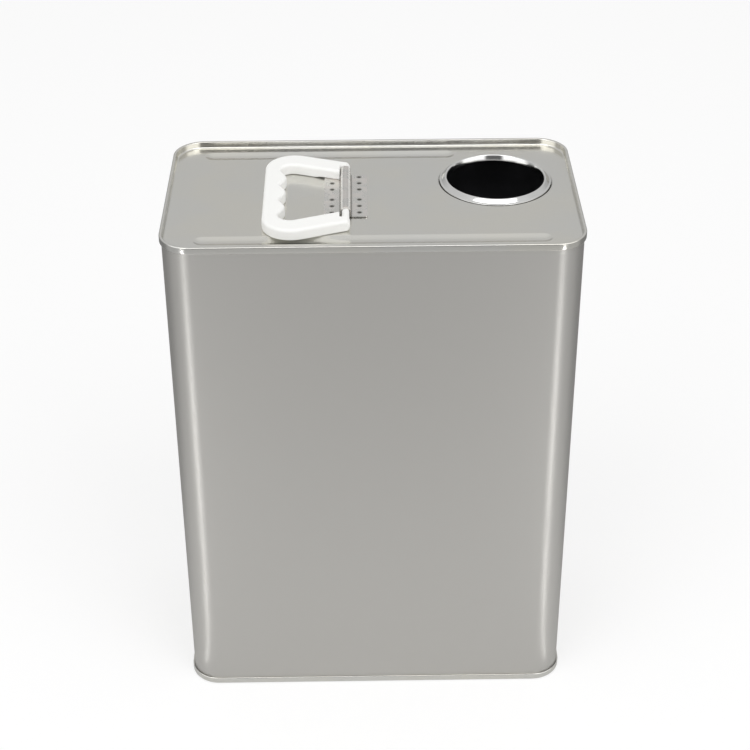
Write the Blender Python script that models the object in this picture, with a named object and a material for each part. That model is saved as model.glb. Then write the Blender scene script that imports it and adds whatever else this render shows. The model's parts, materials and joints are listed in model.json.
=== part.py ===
"""Rectangular tinplate can with a fold-down plastic handle and an open pour neck.

Metres, +Z up. The origin is at the centre of the base, X runs along the wide side and
the front faces -Y. Every piece is a separate closed solid.
"""

import math

import bmesh
import bpy
from mathutils import Vector

# The can, measured over its two double seams
can_width = 0.178
can_depth = 0.102
can_height = 0.239
seam_corner_radius = 0.0136

# Tinplate and the double seam that locks each end to the body
plate = 0.00022
seam_gap = 0.00006
seam_height = 0.0031
seam_land = 0.00035
compound_thickness = 0.0002
weld_lap_width = 0.0012
weld_lap_rise = 0.0001

# The recessed ends and their two pressed stiffening channels
end_recess = 0.003
end_fillet = 0.001
channel_end_margin = 0.0135
channel_width = 0.0072
channel_depth = 0.001
front_channel_margin = 0.0108
rear_channel_margin = 0.0093
channel_neck_margin = 0.0045

# The pour neck: a turned ring clinched through a hole in the top end
neck_end_margin = 0.03356
neck_rear_margin = 0.0358
bore_radius = 0.0208
ring_plate = 0.00028
rim_height = 0.0018
rim_round = 0.00045
rim_slope = math.radians(45.0)
wall_flare = math.radians(16.0)
flange_radius = 0.0244
skirt_radius = 0.0232
skirt_round = 0.0004
skirt_rise = math.radians(8.0)
seat_margin = 0.001
seat_wall = 0.0005
seat_depth = 0.0005
film_thickness = 0.00015
film_inset = 0.0003
film_width = 0.0014
film_gap = 0.00008
neck_clearance = 0.0003
clinch_gap = 0.0001

# The handle strap, spot-welded to the top end
strap_x = -0.0114
strap_y = -0.0004
strap_length = 0.0395
strap_reach = 0.0093
strap_plate = 0.00045
strap_corner = 0.0008
foot_round = 0.0003
weld_gap = 0.0001
weld_offset = 0.0059
weld_pitch = 0.006
weld_shift = 0.0009
weld_group_gap = 0.0096
weld_radius = 0.0009
weld_depth = 0.0002

# The moulded handle, drawn about the axis of its bar
handle_thickness = 0.0044
grip_drop = 0.0005
relief_margin = 0.0008
relief_run = 0.008
handle_reach = 0.0353
handle_edge_round = 0.0013
grip_width = 0.0082
finger_hollow = 0.0026
finger_roundness_share = 0.7
outer_corner_radius = 0.0125
inner_corner_radius = 0.0052
arm_end_width = 0.00435
arm_inner_inset = 0.00625
arm_outer_taper = math.radians(20.0)
arm_inner_taper = math.radians(20.0)
arm_end_reach = 0.0019
arm_end_corner = 0.0008
bar_radius = 0.0016
bar_clearance = 0.0002
arm_clearance = 0.0001
notch_clearance = 0.0001
side_play = 0.0043
side_gap = 0.0003

# Overruns of cutters and of pieces that a union joins
cut_overrun = 0.001
join_overlap = 0.0015
merge_distance = 0.000001

# How finely round shapes are drawn, and how sharp an edge still looks smooth
smooth_angle = math.radians(35.0)
corner_steps = 6
bend_steps = 5
fillet_steps = 3
channel_steps = 4
neck_steps = 40
bar_steps = 20
weld_steps = 8
wave_steps = 14
loft_corner_steps = 8
arm_end_steps = 5
arm_end_last_angle = math.radians(80.0)
finger_count = 4
weld_columns = 2
welds_per_group = 3

# The seam's layers, counted outwards from the outer face of the body wall
layer = plate + seam_gap
seam_reach = 3 * layer
wall_half_x = can_width / 2 - seam_reach
wall_half_y = can_depth / 2 - seam_reach
wall_corner = seam_corner_radius - seam_reach
body_line = -plate / 2
chuck_line = body_line - layer
end_hook_line = body_line + layer
body_hook_line = body_line + 2 * layer
cover_line = body_line + 3 * layer
crest_round = (4 * layer - seam_land) / 2
crest_inner_round = crest_round - plate / 2
body_bend_depth = plate + 2 * seam_gap + compound_thickness + plate / 2 + layer
cover_bend_depth = seam_height - plate / 2 - layer
panel_depth = end_recess + plate / 2
panel_edge = chuck_line - end_fillet

# The pour neck's seat, its place measured from the wall, and where its skirt's bend ends
seat_radius = flange_radius + seat_margin
skirt_turn_end = 3 * math.pi / 2 + skirt_rise
neck_x = wall_half_x - neck_end_margin
neck_y = wall_half_y - neck_rear_margin

# Heights on the top end
panel_z = can_height - end_recess
strap_z = panel_z + weld_gap + strap_plate / 2
axis_height = weld_gap + strap_plate + arm_clearance + handle_thickness / 2
axis_z = panel_z + axis_height
handle_y = strap_y - (side_play - side_gap)
notch_half = strap_length / 2 + side_play
arm_outer_half = notch_half + arm_end_width
arm_inner_half = notch_half - arm_inner_inset
arch_radius = bar_radius + bar_clearance + strap_plate / 2
foot_reach = arch_radius + strap_plate / 2 + foot_round
notch_reach = foot_reach + notch_clearance
relief_reach = strap_reach + relief_margin

tinplate_colour = (0.60, 0.59, 0.56, 1.0)
neck_colour = (0.80, 0.80, 0.79, 1.0)
handle_colour = (0.92, 0.92, 0.90, 1.0)
compound_colour = (0.33, 0.34, 0.31, 1.0)
film_colour = (0.16, 0.16, 0.16, 1.0)


def clear_scene():
    """Removes every object that the new file holds."""
    for item in list(bpy.data.objects):
        bpy.data.objects.remove(item, do_unlink=True)


def material(name, colour, roughness, metallic):
    """A Principled material with one colour."""
    made = bpy.data.materials.new(name)
    made.use_nodes = True
    shader = made.node_tree.nodes["Principled BSDF"]
    shader.inputs["Base Color"].default_value = colour
    shader.inputs["Roughness"].default_value = roughness
    shader.inputs["Metallic"].default_value = metallic
    made.diffuse_color = colour
    return made


def arc(centre, radius, start, end, steps):
    """Points of an arc from one angle to another, both ends included."""
    points = []
    for i in range(steps + 1):
        angle = start + (end - start) * i / steps
        points.append((centre[0] + radius * math.cos(angle), centre[1] + radius * math.sin(angle)))
    return points


def rounded_loop(half_x, half_y, radius, steps):
    """A rectangle with round corners about the origin, counter-clockwise."""
    points = []
    quarter = math.pi / 2
    for i, (sx, sy) in enumerate([(1, 1), (-1, 1), (-1, -1), (1, -1)]):
        centre = (sx * (half_x - radius), sy * (half_y - radius))
        points += arc(centre, radius, i * quarter, (i + 1) * quarter, steps)
    return points


def can_loop(offset):
    """The plan of the can, offset outwards from the outer face of its wall."""
    return rounded_loop(wall_half_x + offset, wall_half_y + offset, wall_corner + offset, corner_steps)


def sheet_sides(path, thickness):
    """Both sides of a sheet whose middle line is the path, mitred at each bend."""
    sides = ([], [])
    last = len(path) - 1
    for i, point in enumerate(path):
        here = Vector(point)
        before = (here - Vector(path[max(i - 1, 0)])).normalized()
        after = (Vector(path[min(i + 1, last)]) - here).normalized()
        if i == 0:
            before = after
        if i == last:
            after = before
        normal = Vector((-(before + after).y, (before + after).x)).normalized()
        reach = thickness / 2 / normal.dot(Vector((-before.y, before.x)))
        sides[0].append(tuple(here + normal * reach))
        sides[1].append(tuple(here - normal * reach))
    return sides


def sheet_outline(path, thickness):
    """The closed outline of a sheet that follows the path."""
    left, right = sheet_sides(path, thickness)
    return left + right[::-1]


def add_loop(bm, points, z):
    """The vertices of a flat loop at a height."""
    return [bm.verts.new((x, y, z)) for x, y in points]


def join_loops(bm, first, second):
    """Quads between two rings that have as many vertices."""
    count = len(first)
    for i in range(count):
        j = (i + 1) % count
        bm.faces.new((first[i], first[j], second[j], second[i]))


def loop_edges(bm, ring):
    """The edges round a ring, made where they are missing."""
    edges = []
    for i, vertex in enumerate(ring):
        following = ring[(i + 1) % len(ring)]
        edges.append(bm.edges.get((vertex, following)) or bm.edges.new((vertex, following)))
    return edges


def fill_flat(bm, rings):
    """Triangles over the flat region that the first ring bounds, less the other rings."""
    edges = []
    for ring in rings:
        edges += loop_edges(bm, ring)
    bmesh.ops.triangle_fill(bm, edges=edges, use_beauty=True)


def finish_mesh(bm, name, made_of, parent=None):
    """Turns the faces outwards and puts the mesh into the scene as one named object."""
    bmesh.ops.recalc_face_normals(bm, faces=bm.faces)
    if bm.calc_volume(signed=True) < 0:
        bmesh.ops.reverse_faces(bm, faces=bm.faces)
    mesh = bpy.data.meshes.new(name)
    bm.to_mesh(mesh)
    bm.free()
    mesh.shade_smooth()
    mesh.set_sharp_from_angle(angle=smooth_angle)
    if made_of is not None:
        mesh.materials.append(made_of)
    made = bpy.data.objects.new(name, mesh)
    bpy.context.scene.collection.objects.link(made)
    made.parent = parent
    return made


def make_cutter(bm, name, parent=None):
    """A helper solid that a Boolean uses and no view shows."""
    cutter = finish_mesh(bm, name, None, parent)
    cutter.hide_render = True
    cutter.display_type = "WIRE"
    return cutter


def combine(target, other, operation):
    """Adds or cuts the other solid with a Boolean modifier."""
    step = target.modifiers.new(other.name, "BOOLEAN")
    step.operation = operation
    step.solver = "EXACT"
    step.object = other


def body_path():
    """Middle line of the body wall from its upper hook to its lower one, as offset and height."""
    upper_bend = (end_hook_line, can_height - body_bend_depth)
    lower_bend = (end_hook_line, body_bend_depth)
    path = [(body_hook_line, can_height - cover_bend_depth)]
    path += arc(upper_bend, layer, 0, math.pi, bend_steps)
    path += arc(lower_bend, layer, math.pi, 2 * math.pi, bend_steps)
    path.append((body_hook_line, cover_bend_depth))
    return path


def end_path():
    """Middle line of an end from its hook tip to its flat panel, as offset and depth."""
    cover_bend = (body_hook_line, cover_bend_depth)
    crest_out = (cover_line - crest_round, plate / 2 + crest_round)
    crest_in = (chuck_line + crest_round, plate / 2 + crest_round)
    fillet = (panel_edge, panel_depth - end_fillet)
    path = [(end_hook_line, body_bend_depth)]
    path += arc(cover_bend, layer, math.pi, 0, bend_steps)
    path += arc(crest_out, crest_round, 0, -math.pi / 2, fillet_steps)
    path += arc(crest_in, crest_round, -math.pi / 2, -math.pi, fillet_steps)
    path += arc(fillet, end_fillet, 0, math.pi / 2, fillet_steps)
    return path


def make_body(tinplate):
    """The body: one tube with a hook turned out at each rim and a welded side lap."""
    bm = bmesh.new()
    rings = [add_loop(bm, can_loop(offset), z) for offset, z in sheet_outline(body_path(), plate)]
    for i, ring in enumerate(rings):
        join_loops(bm, ring, rings[(i + 1) % len(rings)])
    body = finish_mesh(bm, "body_shell", tinplate)
    lap = bmesh.new()
    bmesh.ops.create_cube(lap, size=1)
    lap_thickness = plate / 2 + weld_lap_rise
    lap_height = can_height - 2 * seam_height - 2 * end_fillet
    bmesh.ops.scale(lap, vec=(lap_thickness, weld_lap_width, lap_height), verts=lap.verts)
    lap_x = -wall_half_x - weld_lap_rise + lap_thickness / 2
    bmesh.ops.translate(lap, vec=(lap_x, 0, can_height / 2), verts=lap.verts)
    combine(body, make_cutter(lap, "side_weld_lap"), "UNION")
    return body


def neck_bend():
    """Centre of the bend between the neck's wall and its skirt, and the height of the skirt's edge."""
    skirt_top = panel_z - seat_depth - plate - clinch_gap - ring_plate / 2 / math.cos(skirt_rise)
    radius = bore_radius + ring_plate / 2 + skirt_round
    skirt_run = skirt_radius - (radius + skirt_round * math.cos(skirt_turn_end))
    z = skirt_top - skirt_run * math.tan(skirt_rise) - skirt_round * math.sin(skirt_turn_end)
    return (radius, z), skirt_top


def neck_wall_radius(z):
    """Radius of the middle line of the neck's flared wall at a height."""
    (radius, bend_z), _ = neck_bend()
    foot_radius = radius - skirt_round * math.cos(wall_flare)
    foot_z = bend_z + skirt_round * math.sin(wall_flare)
    return foot_radius + (z - foot_z) * math.tan(wall_flare)


def channel_rings(bm, centre_x, centre_y, length, face_z, inward):
    """Rings of one pressed channel, from its rim on the flat panel to its floor."""
    rings = []
    for i in range(channel_steps + 1):
        angle = math.pi / 2 * i / (channel_steps + 1)
        half_width = channel_width / 2 * math.cos(angle)
        half_length = length / 2 - (channel_width / 2 - half_width)
        depth = channel_depth * math.sin(angle) ** 2
        plan = rounded_loop(half_length, half_width, half_width, channel_steps)
        moved = [(centre_x + x, centre_y + y) for x, y in plan]
        rings.append(add_loop(bm, moved, face_z + inward * depth))
    return rings


def channel_places(neck):
    """Centre and length of each channel: the rear one stops short of the neck."""
    half_length = wall_half_x - channel_end_margin
    front_y = front_channel_margin - wall_half_y
    rear_y = wall_half_y - rear_channel_margin
    rear_end = half_length
    if neck:
        clear = seat_radius + channel_neck_margin + channel_width / 2
        reach = math.sqrt(max(0, clear ** 2 - (rear_y - neck_y) ** 2))
        rear_end = neck_x - reach + channel_width / 2
    rear_length = half_length + rear_end
    return [(0, front_y, 2 * half_length), (rear_end - rear_length / 2, rear_y, rear_length)]


def add_panel_side(bm, boundary, face_z, inward, neck):
    """One side of an end's panel with its channels; returns the rim of the pour hole."""
    holes = []
    for centre_x, centre_y, length in channel_places(neck):
        rings = channel_rings(bm, centre_x, centre_y, length, face_z, inward)
        for outer, inner in zip(rings, rings[1:]):
            join_loops(bm, outer, inner)
        fill_flat(bm, [rings[-1]])
        holes.append(rings[0])
    rim = None
    if neck:
        wall_radius = neck_wall_radius(panel_z - seat_depth)
        hole_radius = wall_radius + ring_plate / 2 / math.cos(wall_flare) + neck_clearance
        seat_z = face_z + inward * seat_depth
        circles = [(seat_radius, face_z), (seat_radius - seat_wall, seat_z), (hole_radius, seat_z)]
        rings = []
        for radius, z in circles:
            circle = arc((neck_x, neck_y), radius, 0, 2 * math.pi, neck_steps)[:-1]
            rings.append(add_loop(bm, circle, z))
        for outer, inner in zip(rings, rings[1:]):
            join_loops(bm, outer, inner)
        holes.append(rings[0])
        rim = rings[-1]
    fill_flat(bm, [boundary] + holes)
    return rim


def make_end(name, tinplate, top):
    """One end: a double-seam curl round a recessed panel. The top one has the pour hole."""
    bm = bmesh.new()
    base = can_height if top else 0
    inward = -1 if top else 1
    inner_side, outer_side = sheet_sides(end_path(), plate)
    sides = []
    for side in (inner_side, outer_side):
        sides.append([add_loop(bm, can_loop(offset), base + inward * depth) for offset, depth in side])
    for rings in sides:
        for first, second in zip(rings, rings[1:]):
            join_loops(bm, first, second)
    join_loops(bm, sides[0][0], sides[1][0])
    rims = []
    for rings in sides:
        boundary = rings[-1]
        rims.append(add_panel_side(bm, boundary, boundary[0].co.z, inward, top))
    if top:
        join_loops(bm, rims[0], rims[1])
    return finish_mesh(bm, name, tinplate)


def make_seam_seal(name, compound, top):
    """The sealing compound under the crest of one double seam."""
    base = can_height if top else 0
    inward = -1 if top else 1
    cavity = math.sqrt(2 * crest_inner_round * seam_gap - seam_gap * seam_gap)
    half_width = seam_land / 2 + cavity - seam_gap
    upper = plate + seam_gap
    lower = upper + compound_thickness
    section = []
    for side, depth in [(-1, upper), (1, upper), (1, lower), (-1, lower)]:
        section.append((end_hook_line + side * half_width, depth))
    bm = bmesh.new()
    rings = [add_loop(bm, can_loop(offset), base + inward * depth) for offset, depth in section]
    for i, ring in enumerate(rings):
        join_loops(bm, ring, rings[(i + 1) % len(rings)])
    return finish_mesh(bm, name, compound)


def turn_outline(outline, name, made_of):
    """A closed outline of radius and height, turned about the neck's axis."""
    bm = bmesh.new()
    ring = [bm.verts.new((radius, 0, z)) for radius, z in outline]
    edges = loop_edges(bm, ring)
    bmesh.ops.spin(
        bm,
        geom=ring + edges,
        cent=(0, 0, 0),
        axis=(0, 0, 1),
        angle=2 * math.pi,
        steps=neck_steps,
        use_merge=True,
    )
    bmesh.ops.remove_doubles(bm, verts=bm.verts, dist=merge_distance)
    turned = finish_mesh(bm, name, made_of)
    turned.location = (neck_x, neck_y, 0)
    return turned


def neck_path():
    """Middle line of the neck ring from its flange over its rim and down to its skirt."""
    flange_z = panel_z - seat_depth + 2 * film_gap + film_thickness + ring_plate / 2
    rim_z = panel_z + rim_height - ring_plate / 2 - rim_round
    wall_top = rim_z + rim_round * math.sin(wall_flare)
    rim_centre = (neck_wall_radius(wall_top) + rim_round * math.cos(wall_flare), rim_z)
    over = arc(rim_centre, rim_round, math.pi / 2 - rim_slope, math.pi - wall_flare, bend_steps)
    slope_run = (over[0][1] - flange_z) / math.tan(rim_slope)
    bend_centre, skirt_top = neck_bend()
    path = [(flange_radius, flange_z), (over[0][0] + slope_run, flange_z)]
    path += over
    path += arc(bend_centre, skirt_round, math.pi - wall_flare, skirt_turn_end, bend_steps)
    path.append((skirt_radius, skirt_top))
    return path


def make_neck(bright_tin, film):
    """The pour neck ring and the sealing film under its flange."""
    ring = turn_outline(sheet_outline(neck_path(), ring_plate), "pour_neck_ring", bright_tin)
    outer = flange_radius - film_inset
    inner = outer - film_width
    low = panel_z - seat_depth + film_gap
    high = low + film_thickness
    section = [(inner, low), (outer, low), (outer, high), (inner, high)]
    seal = turn_outline(section, "pour_neck_seal", film)
    return ring, seal


def strap_path():
    """Middle line of the strap from tip to tip, about the bar's axis, in x and z."""
    foot = foot_round + strap_plate / 2
    flange_z = strap_z - axis_z
    foot_x = arch_radius + foot
    half = arc((foot_x, flange_z + foot), foot, -math.pi / 2, -math.pi, fillet_steps)
    half += arc((0, 0), arch_radius, 0, math.pi / 2, bend_steps)
    half.insert(0, (strap_reach, flange_z))
    mirrored = [(-x, z) for x, z in half[:-1]]
    return mirrored + half[::-1]


def weld_places():
    """Places of the spot welds on the strap, about the bar's axis."""
    places = []
    for column in range(weld_columns):
        x = weld_offset * (2 * column - 1)
        for side in (-1, 1):
            for i in range(welds_per_group):
                places.append((x, weld_shift + side * (weld_group_gap / 2 + i * weld_pitch)))
    return places


def make_strap(tinplate):
    """The handle strap: two welded flanges and the arch that holds the bar."""
    bm = bmesh.new()
    half_length = strap_length / 2
    outline = sheet_outline(strap_path(), strap_plate)
    face = bm.faces.new([bm.verts.new((x, -half_length, z)) for x, z in outline])
    swept = bmesh.ops.extrude_face_region(bm, geom=[face])["geom"]
    moved = [item for item in swept if isinstance(item, bmesh.types.BMVert)]
    bmesh.ops.translate(bm, vec=(0, strap_length, 0), verts=moved)
    corners = []
    for edge in bm.edges:
        at_tip = all(abs(vertex.co.x) > strap_reach - merge_distance for vertex in edge.verts)
        upright = abs(edge.verts[0].co.y - edge.verts[1].co.y) < merge_distance
        if at_tip and upright:
            corners.append(edge)
    bmesh.ops.bevel(bm, geom=corners, offset=strap_corner, segments=fillet_steps, affect="EDGES")
    strap = finish_mesh(bm, "handle_strap", tinplate)
    strap.location = (strap_x, strap_y, axis_z)
    dents = bmesh.new()
    top = strap_z + strap_plate / 2 - axis_z
    for x, y in weld_places():
        made = bmesh.ops.create_cone(
            dents,
            cap_ends=True,
            segments=weld_steps,
            radius1=weld_radius - weld_depth,
            radius2=weld_radius + weld_depth,
            depth=2 * weld_depth,
        )
        bmesh.ops.translate(dents, vec=(x, y, top), verts=made["verts"])
    cutter = make_cutter(dents, "weld_dents")
    cutter.location = strap.location
    combine(strap, cutter, "DIFFERENCE")
    return strap


def corner_centre(edge_x, radius, half_width, taper):
    """Centre of the arc that joins the grip's edge to an arm's edge."""
    x = edge_x + radius
    return (x, half_width - x * math.tan(taper) - radius / math.cos(taper))


def arm_edges(x):
    """The inner and the outer edge of an arm at a distance along it."""
    inner = (x, arm_inner_half - x * math.tan(arm_inner_taper))
    outer = (x, arm_outer_half - x * math.tan(arm_outer_taper))
    return inner, outer


def handle_stations():
    """Half of the handle from the middle of the grip to the end of one arm.

    Each station has its inner point, its outer point, half of its thickness and how far
    its underside drops below that, which it does clear of the strap.
    """
    half = handle_thickness / 2
    outer_x = -handle_reach
    hollow_x = outer_x + grip_width - finger_hollow / 2
    inner_centre = corner_centre(hollow_x, inner_corner_radius, arm_inner_half, arm_inner_taper)
    outer_centre = corner_centre(outer_x, outer_corner_radius, arm_outer_half, arm_outer_taper)
    pitch = 2 * inner_centre[1] / (finger_count - 1)
    stations = []
    for i in range(wave_steps):
        share = i / wave_steps
        inner_y = inner_centre[1] * share
        swell = (1 + math.cos(2 * math.pi * inner_y / pitch)) / 2
        inner = (hollow_x + finger_hollow * swell ** finger_roundness_share, inner_y)
        stations.append((inner, (outer_x, outer_centre[1] * share), half, grip_drop))
    inner_end = math.pi / 2 - arm_inner_taper
    outer_end = math.pi / 2 - arm_outer_taper
    inner_arc = arc(inner_centre, inner_corner_radius, math.pi, inner_end, loft_corner_steps)
    outer_arc = arc(outer_centre, outer_corner_radius, math.pi, outer_end, loft_corner_steps)
    stations += [(inner, outer, half, grip_drop) for inner, outer in zip(inner_arc, outer_arc)]
    for x, drop in [(-relief_reach - relief_run, grip_drop), (-relief_reach, 0), (-notch_reach, 0)]:
        stations.append((*arm_edges(x), half, drop))
    for i in range(arm_end_steps + 1):
        angle = arm_end_last_angle * i / arm_end_steps
        x = arm_end_reach * math.sin(angle)
        outer = (x, arm_outer_half - arm_end_corner * (1 - math.cos(angle)))
        stations.append(((x, arm_inner_half), outer, half * math.cos(angle), 0))
    return stations


def station_section(inner, outer, half, drop):
    """The rounded section of the handle between an inner and an outer point."""
    across = Vector(outer) - Vector(inner)
    width = across.length
    along = across.normalized()
    radius = min(handle_edge_round, half - merge_distance)
    points = []
    for offset, z in rounded_loop(width / 2, half + drop / 2, radius, fillet_steps):
        place = Vector(inner) + along * (width / 2 + offset)
        points.append((place.x, place.y, z - drop / 2))
    return points


def bar_solid():
    """The bar between the two arms, about its own axis."""
    bm = bmesh.new()
    length = 2 * (notch_half + join_overlap)
    bmesh.ops.create_cone(
        bm, cap_ends=True, segments=bar_steps, radius1=bar_radius, radius2=bar_radius, depth=length
    )
    turn = Vector((0, 0, 1)).rotation_difference(Vector((0, 1, 0))).to_matrix()
    bmesh.ops.rotate(bm, cent=(0, 0, 0), matrix=turn, verts=bm.verts)
    return bm


def notch_solid():
    """The room for the strap's arch between the two arms."""
    bm = bmesh.new()
    bmesh.ops.create_cube(bm, size=1)
    right = arm_end_reach + cut_overrun
    high = handle_thickness + 2 * cut_overrun
    bmesh.ops.scale(bm, vec=(notch_reach + right, 2 * notch_half, high), verts=bm.verts)
    bmesh.ops.translate(bm, vec=((right - notch_reach) / 2, 0, 0), verts=bm.verts)
    return bm


def make_handle(plastic):
    """The moulded handle: a finger-grooved grip, two arms and the bar that the strap holds."""
    pivot = bpy.data.objects.new("handle_pivot", None)
    pivot.location = (strap_x, handle_y, axis_z)
    bpy.context.scene.collection.objects.link(pivot)
    half = handle_stations()
    mirrored = []
    for (inner_x, inner_y), (outer_x, outer_y), thickness, drop in half[:0:-1]:
        mirrored.append(((inner_x, -inner_y), (outer_x, -outer_y), thickness, drop))
    bm = bmesh.new()
    rings = []
    for station in mirrored + half:
        rings.append([bm.verts.new(point) for point in station_section(*station)])
    for first, second in zip(rings, rings[1:]):
        join_loops(bm, first, second)
    bm.faces.new(rings[0])
    bm.faces.new(rings[-1])
    handle = finish_mesh(bm, "carry_handle", plastic, pivot)
    combine(handle, make_cutter(notch_solid(), "strap_notch", pivot), "DIFFERENCE")
    combine(handle, make_cutter(bar_solid(), "handle_bar", pivot), "UNION")
    return handle


def main():
    clear_scene()
    tinplate = material("tinplate", tinplate_colour, 0.38, 1.0)
    bright_tin = material("bright_tinplate", neck_colour, 0.18, 1.0)
    plastic = material("white_polyethylene", handle_colour, 0.42, 0.0)
    compound = material("sealing_compound", compound_colour, 0.8, 0.0)
    film = material("neck_film", film_colour, 0.7, 0.0)
    make_body(tinplate)
    make_end("top_end", tinplate, True)
    make_end("bottom_end", tinplate, False)
    make_seam_seal("top_seam_seal", compound, True)
    make_seam_seal("bottom_seam_seal", compound, False)
    make_neck(bright_tin, film)
    make_strap(tinplate)
    make_handle(plastic)


main()
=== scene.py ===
"""Looks of a rectangular tinplate can: satin tin, a bright pour neck and a white folding handle.

Metres, +Z up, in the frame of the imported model. The front of the can faces -Y.
"""

import json
import math

import bmesh
import bpy
from bpy.props import FloatProperty, FloatVectorProperty, IntProperty, PointerProperty
from mathutils import Matrix, Vector


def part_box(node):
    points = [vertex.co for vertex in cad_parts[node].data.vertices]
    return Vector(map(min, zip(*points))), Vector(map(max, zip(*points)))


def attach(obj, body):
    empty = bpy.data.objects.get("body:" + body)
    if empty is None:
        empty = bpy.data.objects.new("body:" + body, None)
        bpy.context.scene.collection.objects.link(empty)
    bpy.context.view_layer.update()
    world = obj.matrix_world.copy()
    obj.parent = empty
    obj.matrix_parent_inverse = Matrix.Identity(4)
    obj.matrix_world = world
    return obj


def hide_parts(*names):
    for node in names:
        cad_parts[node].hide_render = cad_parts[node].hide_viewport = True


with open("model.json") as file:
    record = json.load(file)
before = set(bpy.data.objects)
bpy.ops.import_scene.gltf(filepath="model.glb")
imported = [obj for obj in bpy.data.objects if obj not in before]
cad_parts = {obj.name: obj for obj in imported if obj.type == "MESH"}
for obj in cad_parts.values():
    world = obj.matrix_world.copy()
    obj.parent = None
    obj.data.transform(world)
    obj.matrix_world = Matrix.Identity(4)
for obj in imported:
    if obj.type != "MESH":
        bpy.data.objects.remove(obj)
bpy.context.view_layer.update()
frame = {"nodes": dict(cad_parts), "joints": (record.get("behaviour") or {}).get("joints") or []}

bl_info = {
    "name": "Tinplate can",
    "version": (1, 0, 0),
    "blender": (4, 5, 0),
    "location": "View3D > Sidebar > Tin can",
    "description": "Builds a seamed tinplate can with its neck, strap and handle",
    "category": "Add Mesh",
}

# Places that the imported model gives
lid_low, lid_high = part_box("top_end")
ring_low, ring_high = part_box("pour_neck_ring")
strap_low, strap_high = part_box("handle_strap")
hinge = Vector(frame["joints"][0]["pos_m"])
neck_centre = (ring_low + ring_high) / 2
strap_centre = (strap_low + strap_high) / 2
flange_reach = (ring_high.x - ring_low.x) / 2
strap_length = strap_high.y - strap_low.y
strap_reach = (strap_high.x - strap_low.x) / 2

# How finely round shapes are drawn
CORNER_STEPS = 20
LONG_STEPS = 36
SHORT_STEPS = 18
WALL_STEPS = 48
BEND_STEPS = 10
CREST_STEPS = 6
FILLET_STEPS = 8
CHANNEL_RINGS = 9
CHANNEL_END_STEPS = 10
NECK_STEPS = 128
FLANGE_STEPS = 4
SEAT_RINGS = 8
WAVE_STEPS = 48
HANDLE_CORNER_STEPS = 20
ARM_STEPS = 10
NOTCH_STEPS = 12
SECTION_STEPS = 14
ARM_END_STEPS = 9
BAR_STEPS = 40
FLOOR_STEPS = 96
SMOOTH_ANGLE = math.radians(38.0)

# Width of the flat rim that keeps a bend's shading off the flat panel beside it
FLAT_RIM = 0.0002

# How the bow of a body panel falls off towards its ends and its sides
BOW_END_POWER = 0.7
BOW_SIDE_POWER = 0.8

# Ripples of a body panel: two crossing waves, each by X, by Z and its start, and their strength
RIPPLES = (
    ((61, 23, 1.3), (-19, 47, 0.4), 1.0),
    ((118, -41, 0.0), (0, 83, 0.9), 0.6),
)

# Bevel of the side lap, as a share of its rise
LAP_BEVEL_SHARE = 0.6

# An end's inside: how far a face turns inwards, and how deep it lies as a share of the plate
INSIDE_TURN = 0.3
INSIDE_DEPTH_SHARE = 0.4

# Upper edge of the neck ring's flange, as a share of its plate
FLANGE_ROUND_SHARE = 0.7

# The low collar round a weld's dent, as shares of the dent's depth and radius, then how narrow
# the collar and the weld's dark mark are
COLLAR_DEPTH_SHARE = 0.25
COLLAR_RADIUS_SHARE = 1.35
COLLAR_NARROWNESS = 3
MARK_NARROWNESS = 0.85

# Where the strap's arch carries a pale painted highlight, as an angle up from the bar's axis
PAINTED_HIGHLIGHT_TURN = math.radians(45.0)
PAINTED_HIGHLIGHT_WIDTH = math.radians(14.0)

# How far the painted shade spreads at the arch's feet, as a share of the bend there
PAINTED_SHADE_SHARE = 1.5

# How far round an arm's end the last section lies, and the flat that a thin section keeps
ARM_END_TURN = math.radians(82.0)
SECTION_FLAT = 1e-6

# Tinplate: how its rolling lines and scuffs are drawn out, and the scales of the fine marks
GRAIN_STRETCH = (1.0, 1.0, 0.02)
SCUFF_STRETCH = (1.0, 1.0, 0.35)
SCRATCH_WIDTH = 0.006
SCUFF_PATCH_SCALE = 31.0
SPECKLE_SCALE = 1400.0

# The studio: the camera's sensor, the floor with its painted falloff and painted shade, the front light and
# the sky by height
SENSOR_WIDTH = 36.0
FLOOR_RADIUS = 6.0
FLOOR_DROP = 0.0002
FLOOR_PAINTED_FALLOFF = (0.06, 0.5)
FLOOR_PAINTED_SHADE_BESIDE = (0.04, 0.1)
FLOOR_PAINTED_SHADE_BEHIND = (-0.12, 0.12)
KEY_SIZE = (1.5, 0.62)
KEY_PLACE = (0.0, -0.6, 1.3)
KEY_AIM = (0.0, 0.0, 0.1)
SKY_RISE = (0.0, 0.5)
SKY_TOP = (0.6, 0.95)
FRONT_GAP = (0.26, 0.45)
WING_END = (1.2, 1.6)
WING_TOP = (0.5, 0.8)
REAR_TURN = 2.56
REAR_WIDTH = (0.12, 0.25)
REAR_TOP = (0.15, 0.35)
WHITE = (1.0, 1.0, 1.0, 1.0)

# The two low strips of light: their turn from the front, their height, and for each step
# where it starts, where it ends, its width and its share of the brightness
STRIP_AZIMUTH = math.radians(32.0)
STRIP_RISE = 0.004
STRIP_STEPS = (
    (0.003, 0.02, 0.0022, 0.32),
    (0.02, 0.05, 0.003, 0.4),
    (0.05, 0.14, 0.0055, 0.8),
    (0.14, 0.28, 0.014, 1.0),
    (0.28, 0.5, 0.028, 1.0),
)


def length(name, default, description):
    """A size in metres that a user can change."""
    return FloatProperty(
        name=name, default=default, min=0.0, precision=5, unit="LENGTH", description=description
    )


def share(name, default, description):
    """A factor from nothing to one."""
    return FloatProperty(
        name=name, default=default, min=0.0, max=1.0, subtype="FACTOR", description=description
    )


def colour(name, default, description):
    """A colour that a user can change."""
    return FloatVectorProperty(
        name=name, default=default, size=4, min=0.0, max=1.0, subtype="COLOR", description=description
    )


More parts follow.
